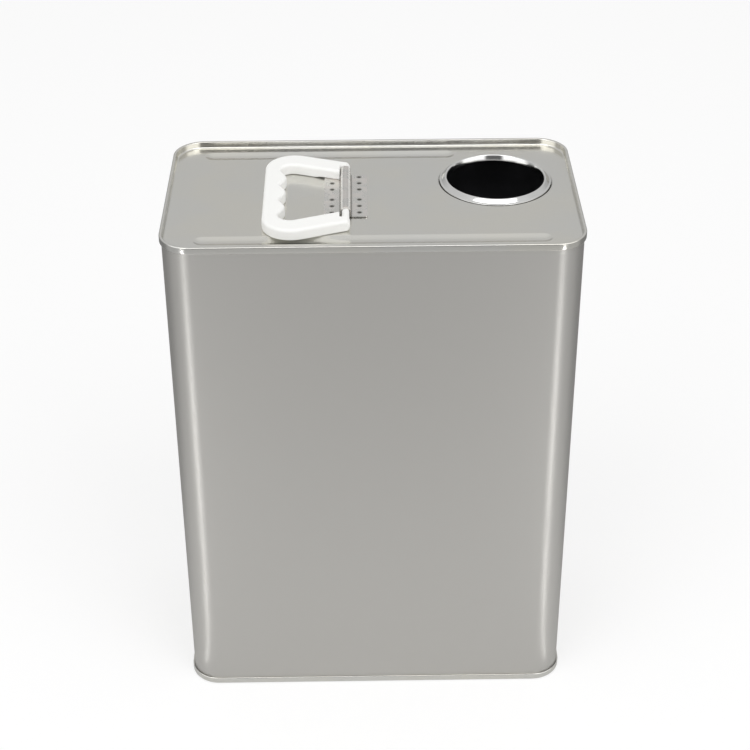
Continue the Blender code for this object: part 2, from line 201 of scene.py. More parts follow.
def turn(name, degrees, description):
    """An angle that a user can change."""
    return FloatProperty(
        name=name, default=math.radians(degrees), subtype="ANGLE", unit="ROTATION", description=description
    )


def brightness(name, default, description):
    """The brightness of a light that a user can change."""
    return FloatProperty(name=name, default=default, min=0.0, description=description)


class TinCanSizes(bpy.types.PropertyGroup):
    """Sizes of the body, the two ends and their double seams."""

    plate: length("Plate", 0.00022, "Thickness of the tinplate")
    seam_gap: length("Seam gap", 0.00006, "Space between the layers of a double seam")
    seam_height: length("Seam height", 0.0031, "Height of a double seam's outer face")
    seam_land: length("Seam land", 0.00035, "Width of the flat on a seam's crest")
    compound: length("Compound", 0.0002, "Thickness of the sealing compound")
    corner: length("Corner radius", 0.0136, "Radius of a corner over the seam")
    recess: length("Recess", 0.003, "Depth of an end's panel below its rim")
    fillet: length("Fillet", 0.001, "Radius between the rim's inner wall and the panel")
    channel_end: length("Channel end margin", 0.0135, "From the wall to a channel's end")
    channel_width: length("Channel width", 0.0072, "Width of a pressed channel")
    channel_depth: length("Channel depth", 0.001, "Depth of a pressed channel")
    front_channel: length("Front channel margin", 0.0108, "From the wall to the front channel's middle")
    rear_channel: length("Rear channel margin", 0.0093, "From the wall to the rear channel's middle")
    channel_neck: length("Channel neck margin", 0.0045, "From the neck's seat to the rear channel")
    seat_margin: length("Seat margin", 0.001, "From the neck's flange to its seat's rim")
    seat_wall: length("Seat wall", 0.0009, "Width of the step round the neck's seat")
    seat_depth: length("Seat depth", 0.0005, "Depth of the neck's seat")
    panel_bow: length("Panel bow", 0.00035, "How far a body panel bows out at its middle")
    panel_ripple: length("Panel ripple", 0.00004, "Height of the faint ripples in a body panel")
    lap_width: length("Weld lap width", 0.0012, "Width of the body's welded side lap")
    lap_rise: length("Weld lap rise", 0.0001, "How far the side lap stands out")


class PourNeckSizes(bpy.types.PropertyGroup):
    """Sizes of the ring clinched into the lid."""

    bore: length("Bore radius", 0.0208, "Radius of the open bore")
    plate: length("Ring plate", 0.00028, "Thickness of the ring")
    rim_height: length("Rim height", 0.0018, "Height of the rim above the lid's panel")
    rim_round: length("Rim round", 0.00045, "Radius of the rim's middle line")
    rim_slope: turn("Rim slope", 45.0, "Slope from the flange up to the rim")
    wall_flare: turn("Wall flare", 16.0, "How far the neck's wall opens upwards")
    skirt_radius: length("Skirt radius", 0.0232, "Radius of the skirt turned out under the lid")
    skirt_round: length("Skirt round", 0.0004, "Radius of the skirt's bend")
    skirt_rise: turn("Skirt rise", 8.0, "Slope of the turned-out skirt")
    film: length("Film", 0.00015, "Thickness of the sealing film")
    film_gap: length("Film gap", 0.00008, "Space on each side of the film")
    clearance: length("Hole clearance", 0.0003, "Between the ring's wall and the lid's hole")
    clinch: length("Clinch gap", 0.0001, "Between the skirt and the lid")


class StrapSizes(bpy.types.PropertyGroup):
    """Sizes of the spot-welded handle strap."""

    plate: length("Strap plate", 0.00045, "Thickness of the strap")
    corner: length("Flange corner", 0.0008, "Radius of a flange's corners")
    foot: length("Foot round", 0.0003, "Inner radius of the bend at the arch's foot")
    weld_offset: length("Weld offset", 0.0059, "From the bar's axis to a row of welds")
    weld_pitch: length("Weld pitch", 0.006, "Between welds of a group")
    weld_shift: length("Weld shift", 0.0009, "From the strap's middle to the middle of the rows")
    weld_group: length("Weld group gap", 0.0096, "Between the two groups of a row")
    weld_radius: length("Weld radius", 0.0009, "Radius of a weld's dent")
    weld_depth: length("Weld depth", 0.00016, "Depth of a weld's dent")
    welds: IntProperty(name="Welds in a group", default=3, min=1, description="Spot welds in each group")
    cell: length("Cell", 0.00022, "Size of a cell of the strap's mesh")


class HandleSizes(bpy.types.PropertyGroup):
    """Sizes of the moulded handle."""

    thickness: length("Thickness", 0.0044, "Thickness of the arms at the strap")
    drop: length("Grip drop", 0.0005, "How far the grip's underside lies below the arms'")
    relief_margin: length("Relief margin", 0.0008, "From the strap to where the underside starts to drop")
    relief_run: length("Relief run", 0.004, "Distance over which the underside drops")
    foot_margin: length("Arm foot margin", 0.0001, "From an arm's notch to where its underside steps down")
    foot_run: length("Arm foot run", 0.0008, "Width of that step")
    reach: length("Reach", 0.0353, "From the bar's axis to the grip's outer edge")
    edge_round: length("Edge round", 0.0013, "Radius of the moulded upper edges")
    lower_round: length("Lower edge round", 0.0005, "Radius of the edges of the underside")
    grip_width: length("Grip width", 0.0082, "Width of the grip")
    finger_hollow: length("Finger hollow", 0.0026, "Depth of the finger grooves")
    finger_round: share("Finger roundness", 0.7, "Lower values make wide bumps and narrow grooves")
    fingers: IntProperty(
        name="Finger grooves", default=4, min=2, description="Grooves in the grip's inner edge"
    )
    outer_corner: length("Outer corner", 0.0125, "Radius of the handle's outer corners")
    inner_corner: length("Inner corner", 0.0052, "Radius of the handle's inner corners")
    outer_taper: turn("Outer taper", 20.0, "How far the arms' outer edges spread")
    inner_taper: turn("Inner taper", 20.0, "How far the arms' inner edges spread")
    play: length("Side play", 0.0043, "How far the handle can slide to each side")
    end_width: length("Arm end width", 0.00435, "Width of an arm's end outside the arch")
    inner_inset: length("Arm inner inset", 0.00625, "From the arm's end face in to its inner edge")
    end_reach: length("Arm end reach", 0.0019, "How far an arm runs past the bar's axis")
    end_corner: length("Arm end corner", 0.0008, "Rounding of an arm's end")
    bar: length("Bar radius", 0.0016, "Radius of the bar")
    bar_clearance: length("Bar clearance", 0.0002, "Between the bar and the arch")
    notch_clearance: length("Notch clearance", 0.0001, "Between the arch's foot and the arms")
    arm_clearance: length("Arm clearance", 0.0001, "Between the strap's flange and the arms")


class CanFinish(bpy.types.PropertyGroup):
    """Colours and surface of the materials."""

    tin: colour("Tinplate", (0.74, 0.735, 0.705, 1.0), "Colour of the satin tinplate")
    tin_warm: colour("Tinplate, warm", (0.76, 0.745, 0.69, 1.0), "Colour of the tinplate's warmer patches")
    bright: colour("Bright tin", (0.86, 0.86, 0.85, 1.0), "Colour of the neck ring")
    inside: colour("Inner lacquer", (0.05, 0.05, 0.055, 1.0), "Colour of the can's inside")
    handle: colour("Handle", (0.85, 0.85, 0.835, 1.0), "Colour of the moulded handle")
    strap: colour("Strap", (0.82, 0.785, 0.75, 1.0), "Colour of the strap's paler patches")
    # Colour of the pale painted highlight on the strap arch's shoulders
    worn: colour("Worn bend", (0.84, 0.83, 0.80, 1.0), "Colour of the strap's worn bends")
    weld: colour("Weld mark", (0.12, 0.115, 0.10, 1.0), "Colour of a spot weld's middle")
    compound: colour("Compound", (0.33, 0.34, 0.31, 1.0), "Colour of the sealing compound")
    film: colour("Film", (0.08, 0.08, 0.08, 1.0), "Colour of the neck's sealing film")
    tin_roughness: share("Tinplate roughness", 0.23, "Roughness of the body's satin tinplate")
    end_roughness: share("End roughness", 0.17, "Roughness of the glossier lid and base")
    bright_roughness: share("Bright tin roughness", 0.12, "Roughness of the neck ring")
    handle_roughness: share("Handle roughness", 0.5, "Roughness of the moulded handle")


class CanStudio(bpy.types.PropertyGroup):
    """Camera, floor and light."""

    eye: FloatVectorProperty(
        name="Camera", default=(-0.00663, -0.67395, 0.57982), size=3, subtype="TRANSLATION",
        unit="LENGTH", description="Place of the camera",
    )
    pitch: turn("Pitch", 32.93, "How far the camera looks down")
    yaw: turn("Yaw", -0.639, "How far the camera turns about Z")
    roll: turn("Roll", -0.325, "How far the camera leans")
    lens: FloatProperty(
        name="Lens", default=83.17, min=1.0, unit="CAMERA", description="Focal length on a 36 mm sensor"
    )
    sky: brightness("Sky", 0.62, "Brightness of the sky above and behind")
    zenith: brightness("Zenith", 1.2, "How bright the sky is overhead, against the rest")
    horizon: brightness("Horizon", 0.32, "Brightness of the sky at the horizon")
    front: share("Front", 0.35, "How bright the sky is in front, against behind")
    wings: brightness("Wings", 1.0, "Brightness of the soft light at each side in front")
    rear: brightness("Rear", 0.05, "Brightness of the low light at each side behind")
    key: FloatProperty(
        name="Key", default=6.2, min=0.0, unit="POWER", description="Power of the large front light"
    )
    strip: brightness("Strips", 6.9, "Brightness of the low strip lights")
    lift: share("Floor lift", 0.62, "How far the floor is lifted to white for the camera")
    floor_seen: share("Floor seen", 0.4, "How much of the light on the floor the camera sees")
    # Painted light on the floor, as the can's metal sees it: paler near, darker far, with painted shade
    # behind and beside
    floor_painted_near: share("Floor near", 0.71, "How pale the floor is in front of the can")
    floor_painted_far: share("Floor far", 0.465, "How pale the floor is away from the can")
    floor_painted_shade: share("Floor rear", 0.55, "How pale the floor is behind and beside, against the front")


def eased(part):
    """A smooth step from nothing to one."""
    return part * part * (3 - 2 * part)


def arc(centre, radius, start, end, steps):
    """Points of an arc from one angle to another, both ends included."""
    points = []
    for i in range(steps + 1):
        angle = start + (end - start) * i / steps
        points.append((centre[0] + radius * math.cos(angle), centre[1] + radius * math.sin(angle)))
    return points


def spaced(start, end, steps):
    """Points strictly between two points, at even steps."""
    first, last = Vector(start), Vector(end)
    return [tuple(first.lerp(last, i / steps)) for i in range(1, steps)]


def plan_loop(
    half_x, half_y, radius,
    corner_steps=CORNER_STEPS, long_steps=LONG_STEPS, short_steps=SHORT_STEPS, low_radius=None,
):
    """A rectangle with round corners and divided sides about the origin, counter-clockwise.

    Its two corners at negative Y can have a radius of their own.
    """
    corners = []
    quarter = math.pi / 2
    for i, (sx, sy) in enumerate([(1, 1), (-1, 1), (-1, -1), (1, -1)]):
        bend = low_radius if low_radius and sy < 0 else radius
        centre = (sx * (half_x - bend), sy * (half_y - bend))
        corners.append(arc(centre, bend, i * quarter, (i + 1) * quarter, corner_steps))
    points = []
    for i, corner in enumerate(corners):
        steps = short_steps if i % 2 else long_steps
        points += corner + spaced(corner[-1], corners[(i + 1) % 4][0], steps)
    return points


def sheet_sides(path, thickness):
    """Both sides of a sheet whose middle line is the path, mitred at each bend."""
    sides = ([], [])
    last = len(path) - 1
    for i, point in enumerate(path):
        here = Vector(point)
        before = (here - Vector(path[max(i - 1, 0)])).normalized()
        after = (Vector(path[min(i + 1, last)]) - here).normalized()
        if i == 0:
            before = after
        if i == last:
            after = before
        normal = Vector((-(before + after).y, (before + after).x)).normalized()
        reach = thickness / 2 / normal.dot(Vector((-before.y, before.x)))
        sides[0].append(tuple(here + normal * reach))
        sides[1].append(tuple(here - normal * reach))
    return sides


def sheet_outline(path, thickness):
    """The closed outline of a sheet that follows the path."""
    left, right = sheet_sides(path, thickness)
    return left + right[::-1]


def add_loop(bm, points, z):
    """The vertices of a flat loop at a height."""
    return [bm.verts.new((x, y, z)) for x, y in points]


def join_loops(bm, first, second):
    """Quads between two rings that have as many vertices."""
    count = len(first)
    for i in range(count):
        j = (i + 1) % count
        bm.faces.new((first[i], first[j], second[j], second[i]))


def join_rings(bm, rings, closed=False):
    """Quads from each ring to the next, and where they close, from the last to the first."""
    following = rings[1:] + (rings[:1] if closed else [])
    for first, second in zip(rings, following):
        join_loops(bm, first, second)


def fill_flat(bm, rings):
    """Triangles over the flat region that the first ring bounds, less the other rings."""
    edges = []
    for ring in rings:
        for i, vertex in enumerate(ring):
            following = ring[(i + 1) % len(ring)]
            edges.append(bm.edges.get((vertex, following)) or bm.edges.new((vertex, following)))
    bmesh.ops.triangle_fill(bm, edges=edges, use_beauty=True)


def block(size):
    """A box of a size about the origin."""
    bm = bmesh.new()
    bmesh.ops.create_cube(bm, size=1)
    bmesh.ops.scale(bm, vec=size, verts=bm.verts)
    return bm


def new_object(bm, name, materials):
    """Turns the faces outwards and puts the mesh into the scene as one smooth object."""
    bmesh.ops.recalc_face_normals(bm, faces=bm.faces)
    if bm.calc_volume(signed=True) < 0:
        bmesh.ops.reverse_faces(bm, faces=bm.faces)
    mesh = bpy.data.meshes.new(name)
    bm.to_mesh(mesh)
    bm.free()
    mesh.shade_smooth()
    mesh.set_sharp_from_angle(angle=SMOOTH_ANGLE)
    for made_of in materials:
        mesh.materials.append(material_named(made_of))
    made = bpy.data.objects.new(name, mesh)
    bpy.context.scene.collection.objects.link(made)
    return made


def seat(piece, body, node):
    """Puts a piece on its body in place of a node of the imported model."""
    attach(piece, body)
    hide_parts(node)


class SeamLines:
    """Offsets of a double seam's layers from the outer face of the body wall."""

    def __init__(self, sizes):
        self.layer = sizes.plate + sizes.seam_gap
        reach = 3 * self.layer
        self.half_x = (lid_high.x - lid_low.x) / 2 - reach
        self.half_y = (lid_high.y - lid_low.y) / 2 - reach
        self.corner = sizes.corner - reach
        self.height = lid_high.z
        self.body = -sizes.plate / 2
        self.chuck = self.body - self.layer
        self.end_hook = self.body + self.layer
        self.body_hook = self.body + 2 * self.layer
        self.cover = self.body + 3 * self.layer
        self.crest_round = (4 * self.layer - sizes.seam_land) / 2
        self.body_bend = sizes.plate * 1.5 + 2 * sizes.seam_gap + sizes.compound + self.layer
        self.cover_bend = sizes.seam_height - sizes.plate / 2 - self.layer
        self.panel_depth = sizes.recess + sizes.plate / 2
        self.panel_edge = self.chuck - sizes.fillet

    def loop(self, offset):
        """The plan of the can at an offset from its wall."""
        return plan_loop(self.half_x + offset, self.half_y + offset, self.corner + offset)


def feed(tree, socket, value):
    """Links a socket to another one, or gives it a number or a colour."""
    if isinstance(value, bpy.types.NodeSocket):
        tree.links.new(value, socket)
    else:
        socket.default_value = value


def math_node(tree, operation, first, second=0.5):
    """A Math node fed by sockets or numbers; returns its output."""
    node = tree.nodes.new("ShaderNodeMath")
    node.operation = operation
    feed(tree, node.inputs[0], first)
    feed(tree, node.inputs[1], second)
    return node.outputs[0]


def product(tree, first, second):
    """The product of two sockets or numbers."""
    return math_node(tree, "MULTIPLY", first, second)


def remap(tree, value, low, high, to_low=0.0, to_high=1.0):
    """A Map Range node with a smooth step; returns its output."""
    node = tree.nodes.new("ShaderNodeMapRange")
    node.interpolation_type = "SMOOTHSTEP"
    tree.links.new(value, node.inputs["Value"])
    for name, number in [("From Min", low), ("From Max", high), ("To Min", to_low), ("To Max", to_high)]:
        feed(tree, node.inputs[name], number)
    return node.outputs["Result"]


def noise(tree, vector, scale, detail=2.0, roughness=0.5):
    """A Noise texture at a scale, from a vector socket; returns its factor."""
    node = tree.nodes.new("ShaderNodeTexNoise")
    tree.links.new(vector, node.inputs["Vector"])
    for name, value in [("Scale", scale), ("Detail", detail), ("Roughness", roughness)]:
        feed(tree, node.inputs[name], value)
    return node.outputs["Fac"]


def stretched(tree, vector, factors):
    """A vector scaled along each axis; returns its socket."""
    node = tree.nodes.new("ShaderNodeVectorMath")
    node.operation = "MULTIPLY"
    tree.links.new(vector, node.inputs[0])
    node.inputs[1].default_value = factors
    return node.outputs[0]


def new_group(name, numbers, outputs):
    """A node group with a vector, named numbers and outputs; returns its two end nodes too."""
    tree = bpy.data.node_groups.new(name, "ShaderNodeTree")
    tree.interface.new_socket(name="Vector", in_out="INPUT", socket_type="NodeSocketVector")
    for number, value in numbers.items():
        socket = tree.interface.new_socket(name=number, in_out="INPUT", socket_type="NodeSocketFloat")
        socket.default_value = value
    for output in outputs:
        tree.interface.new_socket(name=output, in_out="OUTPUT", socket_type="NodeSocketFloat")
    return tree, tree.nodes.new("NodeGroupInput"), tree.nodes.new("NodeGroupOutput")


def rolled_grain():
    """Node group: the fine rolling lines and soft mottle of a rolled metal sheet."""
    numbers = {"Line Scale": 900.0, "Mottle Scale": 26.0}
    tree, start, end = new_group("rolled_grain", numbers, ("Lines", "Mottle", "Height"))
    vector = start.outputs["Vector"]
    lines = noise(tree, stretched(tree, vector, GRAIN_STRETCH), start.outputs["Line Scale"], 3.0, 0.6)
    mottle = noise(tree, vector, start.outputs["Mottle Scale"], 3.0, 0.55)
    speckle = noise(tree, vector, SPECKLE_SCALE, 1.0, 0.5)
    height = math_node(tree, "ADD", lines, product(tree, speckle, 0.6))
    for name, value in (("Lines", lines), ("Mottle", mottle), ("Height", height)):
        tree.links.new(value, end.inputs[name])
    return tree


def handling_scuffs():
    """Node group: sparse thin scratches and small scuffs, as a mask."""
    tree, start, end = new_group("handling_scuffs", {"Scale": 55.0, "Amount": 0.5}, ("Mask",))
    vector = start.outputs["Vector"]
    field = noise(tree, stretched(tree, vector, SCUFF_STRETCH), start.outputs["Scale"], 4.0, 0.6)
    ridge = math_node(tree, "ABSOLUTE", math_node(tree, "SUBTRACT", field, 0.5))
    line = remap(tree, ridge, 0.0, SCRATCH_WIDTH, 1.0, 0.0)
    sparse = remap(tree, noise(tree, vector, SCUFF_PATCH_SCALE), 0.56, 0.68)
    mask = product(tree, product(tree, line, sparse), start.outputs["Amount"])
    tree.links.new(mask, end.inputs["Mask"])
    return tree


def use_group(tree, made, vector, **values):
    """Places a node group in a material with its own values."""
    node = tree.nodes.new("ShaderNodeGroup")
    node.node_tree = made
    tree.links.new(vector, node.inputs["Vector"])
    for name, value in values.items():
        node.inputs[name.replace("_", " ")].default_value = value
    return node


def blank_material(name, tone, roughness, metallic):
    """A Principled material; returns its tree, its shader and the object's own coordinates."""
    made = bpy.data.materials.new(name)
    made.use_nodes = True
    made.diffuse_color = tone
    tree = made.node_tree
    shader = tree.nodes["Principled BSDF"]
    shader.inputs["Base Color"].default_value = tone
    shader.inputs["Roughness"].default_value = roughness
    shader.inputs["Metallic"].default_value = metallic
    return tree, shader, tree.nodes.new("ShaderNodeTexCoord").outputs["Object"]


def finish_surface(tree, shader, base, rough):
    """Feeds the shader's colour and its roughness."""
    tree.links.new(base, shader.inputs["Base Color"])
    tree.links.new(rough, shader.inputs["Roughness"])


def bump(tree, shader, height, strength, distance):
    """Feeds the shader's normal from a height."""
    node = tree.nodes.new("ShaderNodeBump")
    node.inputs["Strength"].default_value = strength
    node.inputs["Distance"].default_value = distance
    tree.links.new(height, node.inputs["Height"])
    tree.links.new(node.outputs["Normal"], shader.inputs["Normal"])


def blend_colours(tree, factor, first, second):
    """Mixes two colours by a mask; each is a socket or a colour."""
    node = tree.nodes.new("ShaderNodeMix")
    node.data_type = "RGBA"
    tree.links.new(factor, node.inputs["Factor"])
    for name, value in (("A", first), ("B", second)):
        feed(tree, [item for item in node.inputs if item.name == name and item.type == "RGBA"][0], value)
    return [item for item in node.outputs if item.type == "RGBA"][0]


def shaded(tone, factor):
    """A colour made paler or darker by a factor."""
    return tuple(min(1.0, value * factor) for value in tone[:3]) + (1.0,)


def vertex_value(tree, name):
    """The socket of a value that the mesh carries at its vertices."""
    node = tree.nodes.new("ShaderNodeAttribute")
    node.attribute_name = name
    return node.outputs["Fac"]


def tinplate_material(name, finish, groups, roughness):
    """Satin tinplate: fine rolling lines, warm mottle and a few scuffs."""
    tree, shader, place = blank_material(name, finish.tin, roughness, 1.0)
    grain = use_group(tree, groups["grain"], place, Line_Scale=900.0, Mottle_Scale=26.0)
    worn = use_group(tree, groups["scuffs"], place, Scale=55.0, Amount=0.5)
    warm = remap(tree, grain.outputs["Mottle"], 0.35, 0.68)
    base = blend_colours(tree, warm, finish.tin, finish.tin_warm)
    base = blend_colours(tree, worn.outputs["Mask"], base, shaded(finish.tin, 1.18))
    rough = remap(tree, grain.outputs["Lines"], 0.3, 0.7, roughness - 0.03, roughness + 0.04)
    rough = math_node(tree, "ADD", rough, product(tree, grain.outputs["Mottle"], 0.05))
    finish_surface(tree, shader, base, rough)
    bump(tree, shader, grain.outputs["Height"], 0.05, 0.0002)


def bright_tin_material(finish, groups):
    """The bright drawn ring: polished, with faint turned lines."""
    tree, shader, place = blank_material("bright_tinplate", finish.bright, finish.bright_roughness, 1.0)
    grain = use_group(tree, groups["grain"], place, Line_Scale=600.0, Mottle_Scale=90.0)
    mottle = grain.outputs["Mottle"]
    rough = remap(tree, mottle, 0.3, 0.7, finish.bright_roughness, finish.bright_roughness + 0.06)
    mask = remap(tree, mottle, 0.45, 0.7)
    base = blend_colours(tree, mask, finish.bright, shaded(finish.bright, 0.93))
    finish_surface(tree, shader, base, rough)
    bump(tree, shader, grain.outputs["Height"], 0.03, 0.0001)


def inner_lacquer_material(finish, groups):
    """The can's inside: a thin dark lacquer that keeps some sheen."""
    tree, shader, place = blank_material("inner_lacquer", finish.inside, 0.45, 0.3)
    grain = use_group(tree, groups["grain"], place, Line_Scale=500.0, Mottle_Scale=40.0)
    rough = remap(tree, grain.outputs["Mottle"], 0.3, 0.7, 0.38, 0.52)
    mask = remap(tree, grain.outputs["Mottle"], 0.4, 0.7)
    base = blend_colours(tree, mask, finish.inside, shaded(finish.inside, 1.5))
    finish_surface(tree, shader, base, rough)
    bump(tree, shader, grain.outputs["Height"], 0.04, 0.0002)


def strap_material(finish, groups):
    """Strap tinplate: burnt at each spot weld, with a painted highlight on its arch and painted shade at
    the arch's feet.
    """
    tree, shader, place = blank_material("strap_tinplate", finish.tin, finish.tin_roughness, 1.0)
    grain = use_group(tree, groups["grain"], place, Line_Scale=1100.0, Mottle_Scale=240.0)
    mottle = grain.outputs["Mottle"]
    mark = vertex_value(tree, "weld_mark")
    painted_light = vertex_value(tree, "painted_highlight_and_shade")
    base = blend_colours(tree, remap(tree, mottle, 0.38, 0.62), finish.tin, finish.strap)
    base = blend_colours(tree, remap(tree, mark, 0.0, 0.2, 0.0, 0.6), base, finish.tin)
    # Painted highlight: the arch's shoulders turn pale
    base = blend_colours(tree, remap(tree, painted_light, 0.0, 1.0), base, finish.worn)
    # Painted shade: the arch's feet darken towards the weld's dark colour
    base = blend_colours(tree, remap(tree, painted_light, -1.0, -0.1, 0.7, 0.0), base, finish.weld)
    base = blend_colours(tree, remap(tree, mark, 0.12, 0.75), base, finish.weld)
    rough = remap(tree, mottle, 0.3, 0.7, finish.tin_roughness, finish.tin_roughness + 0.14)
    finish_surface(tree, shader, base, rough)
    # The strap is less metallic under the painted highlight, so that the band stays pale
    tree.links.new(remap(tree, painted_light, 0.0, 1.0, 1.0, 0.3), shader.inputs["Metallic"])
    bump(tree, shader, grain.outputs["Height"], 0.08, 0.0002)


def handle_material(finish):
    """White moulded polyethylene: faint waxy mottle and a fine mould grain."""
    roughness = finish.handle_roughness
    tree, shader, place = blank_material("white_polyethylene", finish.handle, roughness, 0.0)
    wax = noise(tree, place, 160.0, 3.0, 0.55)
    base = blend_colours(tree, remap(tree, wax, 0.4, 0.7), finish.handle, shaded(finish.handle, 0.96))
    rough = remap(tree, wax, 0.3, 0.7, roughness - 0.05, roughness + 0.08)
    finish_surface(tree, shader, base, rough)
    shader.inputs["Subsurface Weight"].default_value = 0.8
    shader.inputs["Subsurface Radius"].default_value = (1.0, 0.95, 0.9)
    shader.inputs["Subsurface Scale"].default_value = 0.012
    bump(tree, shader, noise(tree, place, 2600.0, 2.0, 0.6), 0.12, 0.00006)


def seal_material(name, tone):
    """A matt seal with a faint uneven surface."""
    tree, shader, place = blank_material(name, tone, 0.8, 0.0)
    uneven = noise(tree, place, 900.0)
    base = blend_colours(tree, uneven, tuple(tone), shaded(tone, 1.2))
    finish_surface(tree, shader, base, remap(tree, uneven, 0.3, 0.7, 0.7, 0.88))
    bump(tree, shader, uneven, 0.3, 0.00005)


def material_named(name):
    """A material that an operator has made."""
    if name not in bpy.data.materials:
        raise RuntimeError(f"the finishes come first: no material named {name}")
    return bpy.data.materials[name]


def body_path(lines):
    """Middle line of the body wall from its upper hook to its lower one, as offset and height."""
    upper = (lines.end_hook, lines.height - lines.body_bend)
    lower = (lines.end_hook, lines.body_bend)
    path = [(lines.body_hook, lines.height - lines.cover_bend)]
    path += arc(upper, lines.layer, 0, math.pi, BEND_STEPS)
    path += spaced((lines.body, upper[1]), (lines.body, lower[1]), WALL_STEPS)
    path += arc(lower, lines.layer, math.pi, 2 * math.pi, BEND_STEPS)
    path.append((lines.body_hook, lines.cover_bend))
    return path


def end_path(sizes, lines):
    """Middle line of an end from its hook tip to its flat panel, as offset and depth."""
    cover_bend = (lines.body_hook, lines.cover_bend)
    crest_out = (lines.cover - lines.crest_round, sizes.plate / 2 + lines.crest_round)
    crest_in = (lines.chuck + lines.crest_round, sizes.plate / 2 + lines.crest_round)
    fillet = (lines.panel_edge, lines.panel_depth - sizes.fillet)
    path = [(lines.end_hook, lines.body_bend)]
    path += arc(cover_bend, lines.layer, math.pi, 0, BEND_STEPS)
    path += arc(crest_out, lines.crest_round, 0, -math.pi / 2, CREST_STEPS)
    path += arc(crest_in, lines.crest_round, -math.pi / 2, -math.pi, CREST_STEPS)
    path += arc(fillet, sizes.fillet, 0, math.pi / 2, FILLET_STEPS)
    path.append((lines.panel_edge - FLAT_RIM, lines.panel_depth))
    return path


def wave(turns, x, z):
    """Height of a wave at a point of a panel."""
    by_x, by_z, start = turns
    return math.sin(by_x * x + by_z * z + start)


def panel_swell(sizes, lines, x, y, z):
    """How far a point of the body wall moves out: a shallow bow and faint ripples."""
    level = 2 * z / lines.height - 1
    upright = max(0.0, 1 - level * level)
    flat_x = lines.half_x - lines.corner
    flat_y = lines.half_y - lines.corner
    across_x = max(0.0, 1 - (x / flat_x) ** 2) if abs(x) < flat_x else 0.0
    across_y = max(0.0, 1 - (y / flat_y) ** 2) if abs(y) < flat_y else 0.0
    ripple = sum(weight * wave(first, x, z) * wave(second, x, z) for first, second, weight in RIPPLES)
    move = sizes.panel_bow * upright ** BOW_END_POWER + sizes.panel_ripple * ripple * upright
    return move * across_x ** BOW_SIDE_POWER, move * across_y ** BOW_SIDE_POWER


def bow_walls(bm, sizes, lines, low, high):
    """Bows the flat walls out between two heights."""
    for vertex in bm.verts:
        x, y, z = vertex.co
        if low < z < high:
            by_x, by_y = panel_swell(sizes, lines, x, y, z)
            on_long = abs(y) > lines.half_y - 2 * sizes.plate
            on_short = abs(x) > lines.half_x - 2 * sizes.plate
            vertex.co.y += math.copysign(by_x, y) * on_long
            vertex.co.x += math.copysign(by_y, x) * on_short


def lacquer_inside(body, sizes, lines):
    """Gives the body's inner faces its second material, the lacquer."""
    inner_x = lines.half_x - sizes.plate / 2
    inner_y = lines.half_y - sizes.plate / 2
    for face in body.data.polygons:
        x, y = face.center.xy
        outward = x * face.normal.x + y * face.normal.y > 0
        at_corner = abs(x) > inner_x + sizes.panel_bow and abs(y) > inner_y
        face.material_index = 0 if outward or at_corner else 1


def side_lap(sizes, lines, low, high):
    """The welded side lap: a thin strip that follows the bowed wall between two heights."""
    thick = sizes.plate / 2 + sizes.lap_rise
    bm = block((thick, sizes.lap_width, lines.height - 2 * (sizes.seam_height + sizes.fillet)))
    upright = [edge for edge in bm.edges if edge.calc_length() > sizes.lap_width * 2]
    bmesh.ops.subdivide_edges(bm, edges=upright, cuts=WALL_STEPS)
    for vertex in bm.verts:
        z = vertex.co.z + lines.height / 2
        bow = panel_swell(sizes, lines, -lines.half_x, 0.0, z)[1] if low < z < high else 0.0
        vertex.co.x += -lines.half_x - bow - sizes.lap_rise + thick / 2
        vertex.co.z = z
    sharp = [edge for edge in bm.edges if edge.calc_face_angle(0.0) > SMOOTH_ANGLE]
    bevel = sizes.lap_rise * LAP_BEVEL_SHARE
    bmesh.ops.bevel(bm, geom=sharp, offset=bevel, segments=2, profile=0.5, affect="EDGES")
    return bm


class CAN_OT_finishes(bpy.types.Operator):
    """Make the node groups and the materials of every piece"""

    bl_idname = "can.finishes"
    bl_label = "Finishes"

    def execute(self, context):
        finish = context.scene.can_finish
        groups = {"grain": rolled_grain(), "scuffs": handling_scuffs()}
        tinplate_material("tinplate", finish, groups, finish.tin_roughness)
        tinplate_material("end_tinplate", finish, groups, finish.end_roughness)
        bright_tin_material(finish, groups)
        inner_lacquer_material(finish, groups)
        strap_material(finish, groups)
        handle_material(finish)
        seal_material("sealing_compound", finish.compound)
        seal_material("neck_film", finish.film)
        return {"FINISHED"}


class CAN_OT_body(bpy.types.Operator):
    """Make the body: one tube with a hook at each rim, softly bowed panels and a side lap"""

    bl_idname = "can.body"
    bl_label = "Body"

    def execute(self, context):
        sizes = context.scene.can_sizes
        lines = SeamLines(sizes)
        low = lines.cover_bend + sizes.seam_height
        high = lines.height - low
        bm = bmesh.new()
        outline = sheet_outline(body_path(lines), sizes.plate)
        join_rings(bm, [add_loop(bm, lines.loop(offset), z) for offset, z in outline], closed=True)
        bow_walls(bm, sizes, lines, low, high)
        body = new_object(bm, "tin_body", ["tinplate", "inner_lacquer"])
        lacquer_inside(body, sizes, lines)
        lap = new_object(side_lap(sizes, lines, low, high), "side_weld_lap", ["tinplate"])
        seat(body, "can", "body_shell")
        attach(lap, "can")
        return {"FINISHED"}


def channel_rings(bm, sizes, centre_x, centre_y, length_x, face_z, inward):
    """Rings of one pressed channel, from its rim on the flat panel to its floor."""
    rings = []
    for i in range(-1, CHANNEL_RINGS + 1):
        angle = math.pi / 2 * max(i, 0) / (CHANNEL_RINGS + 1)
        half_width = sizes.channel_width / 2 * math.cos(angle) + (FLAT_RIM if i < 0 else 0.0)
        half_length = length_x / 2 - (sizes.channel_width / 2 - half_width)
        depth = sizes.channel_depth * math.sin(angle) ** 2
        plan = plan_loop(half_length, half_width, half_width, CHANNEL_END_STEPS, LONG_STEPS, 1)
        rings.append(add_loop(bm, [(centre_x + x, centre_y + y) for x, y in plan], face_z + inward * depth))
    return rings


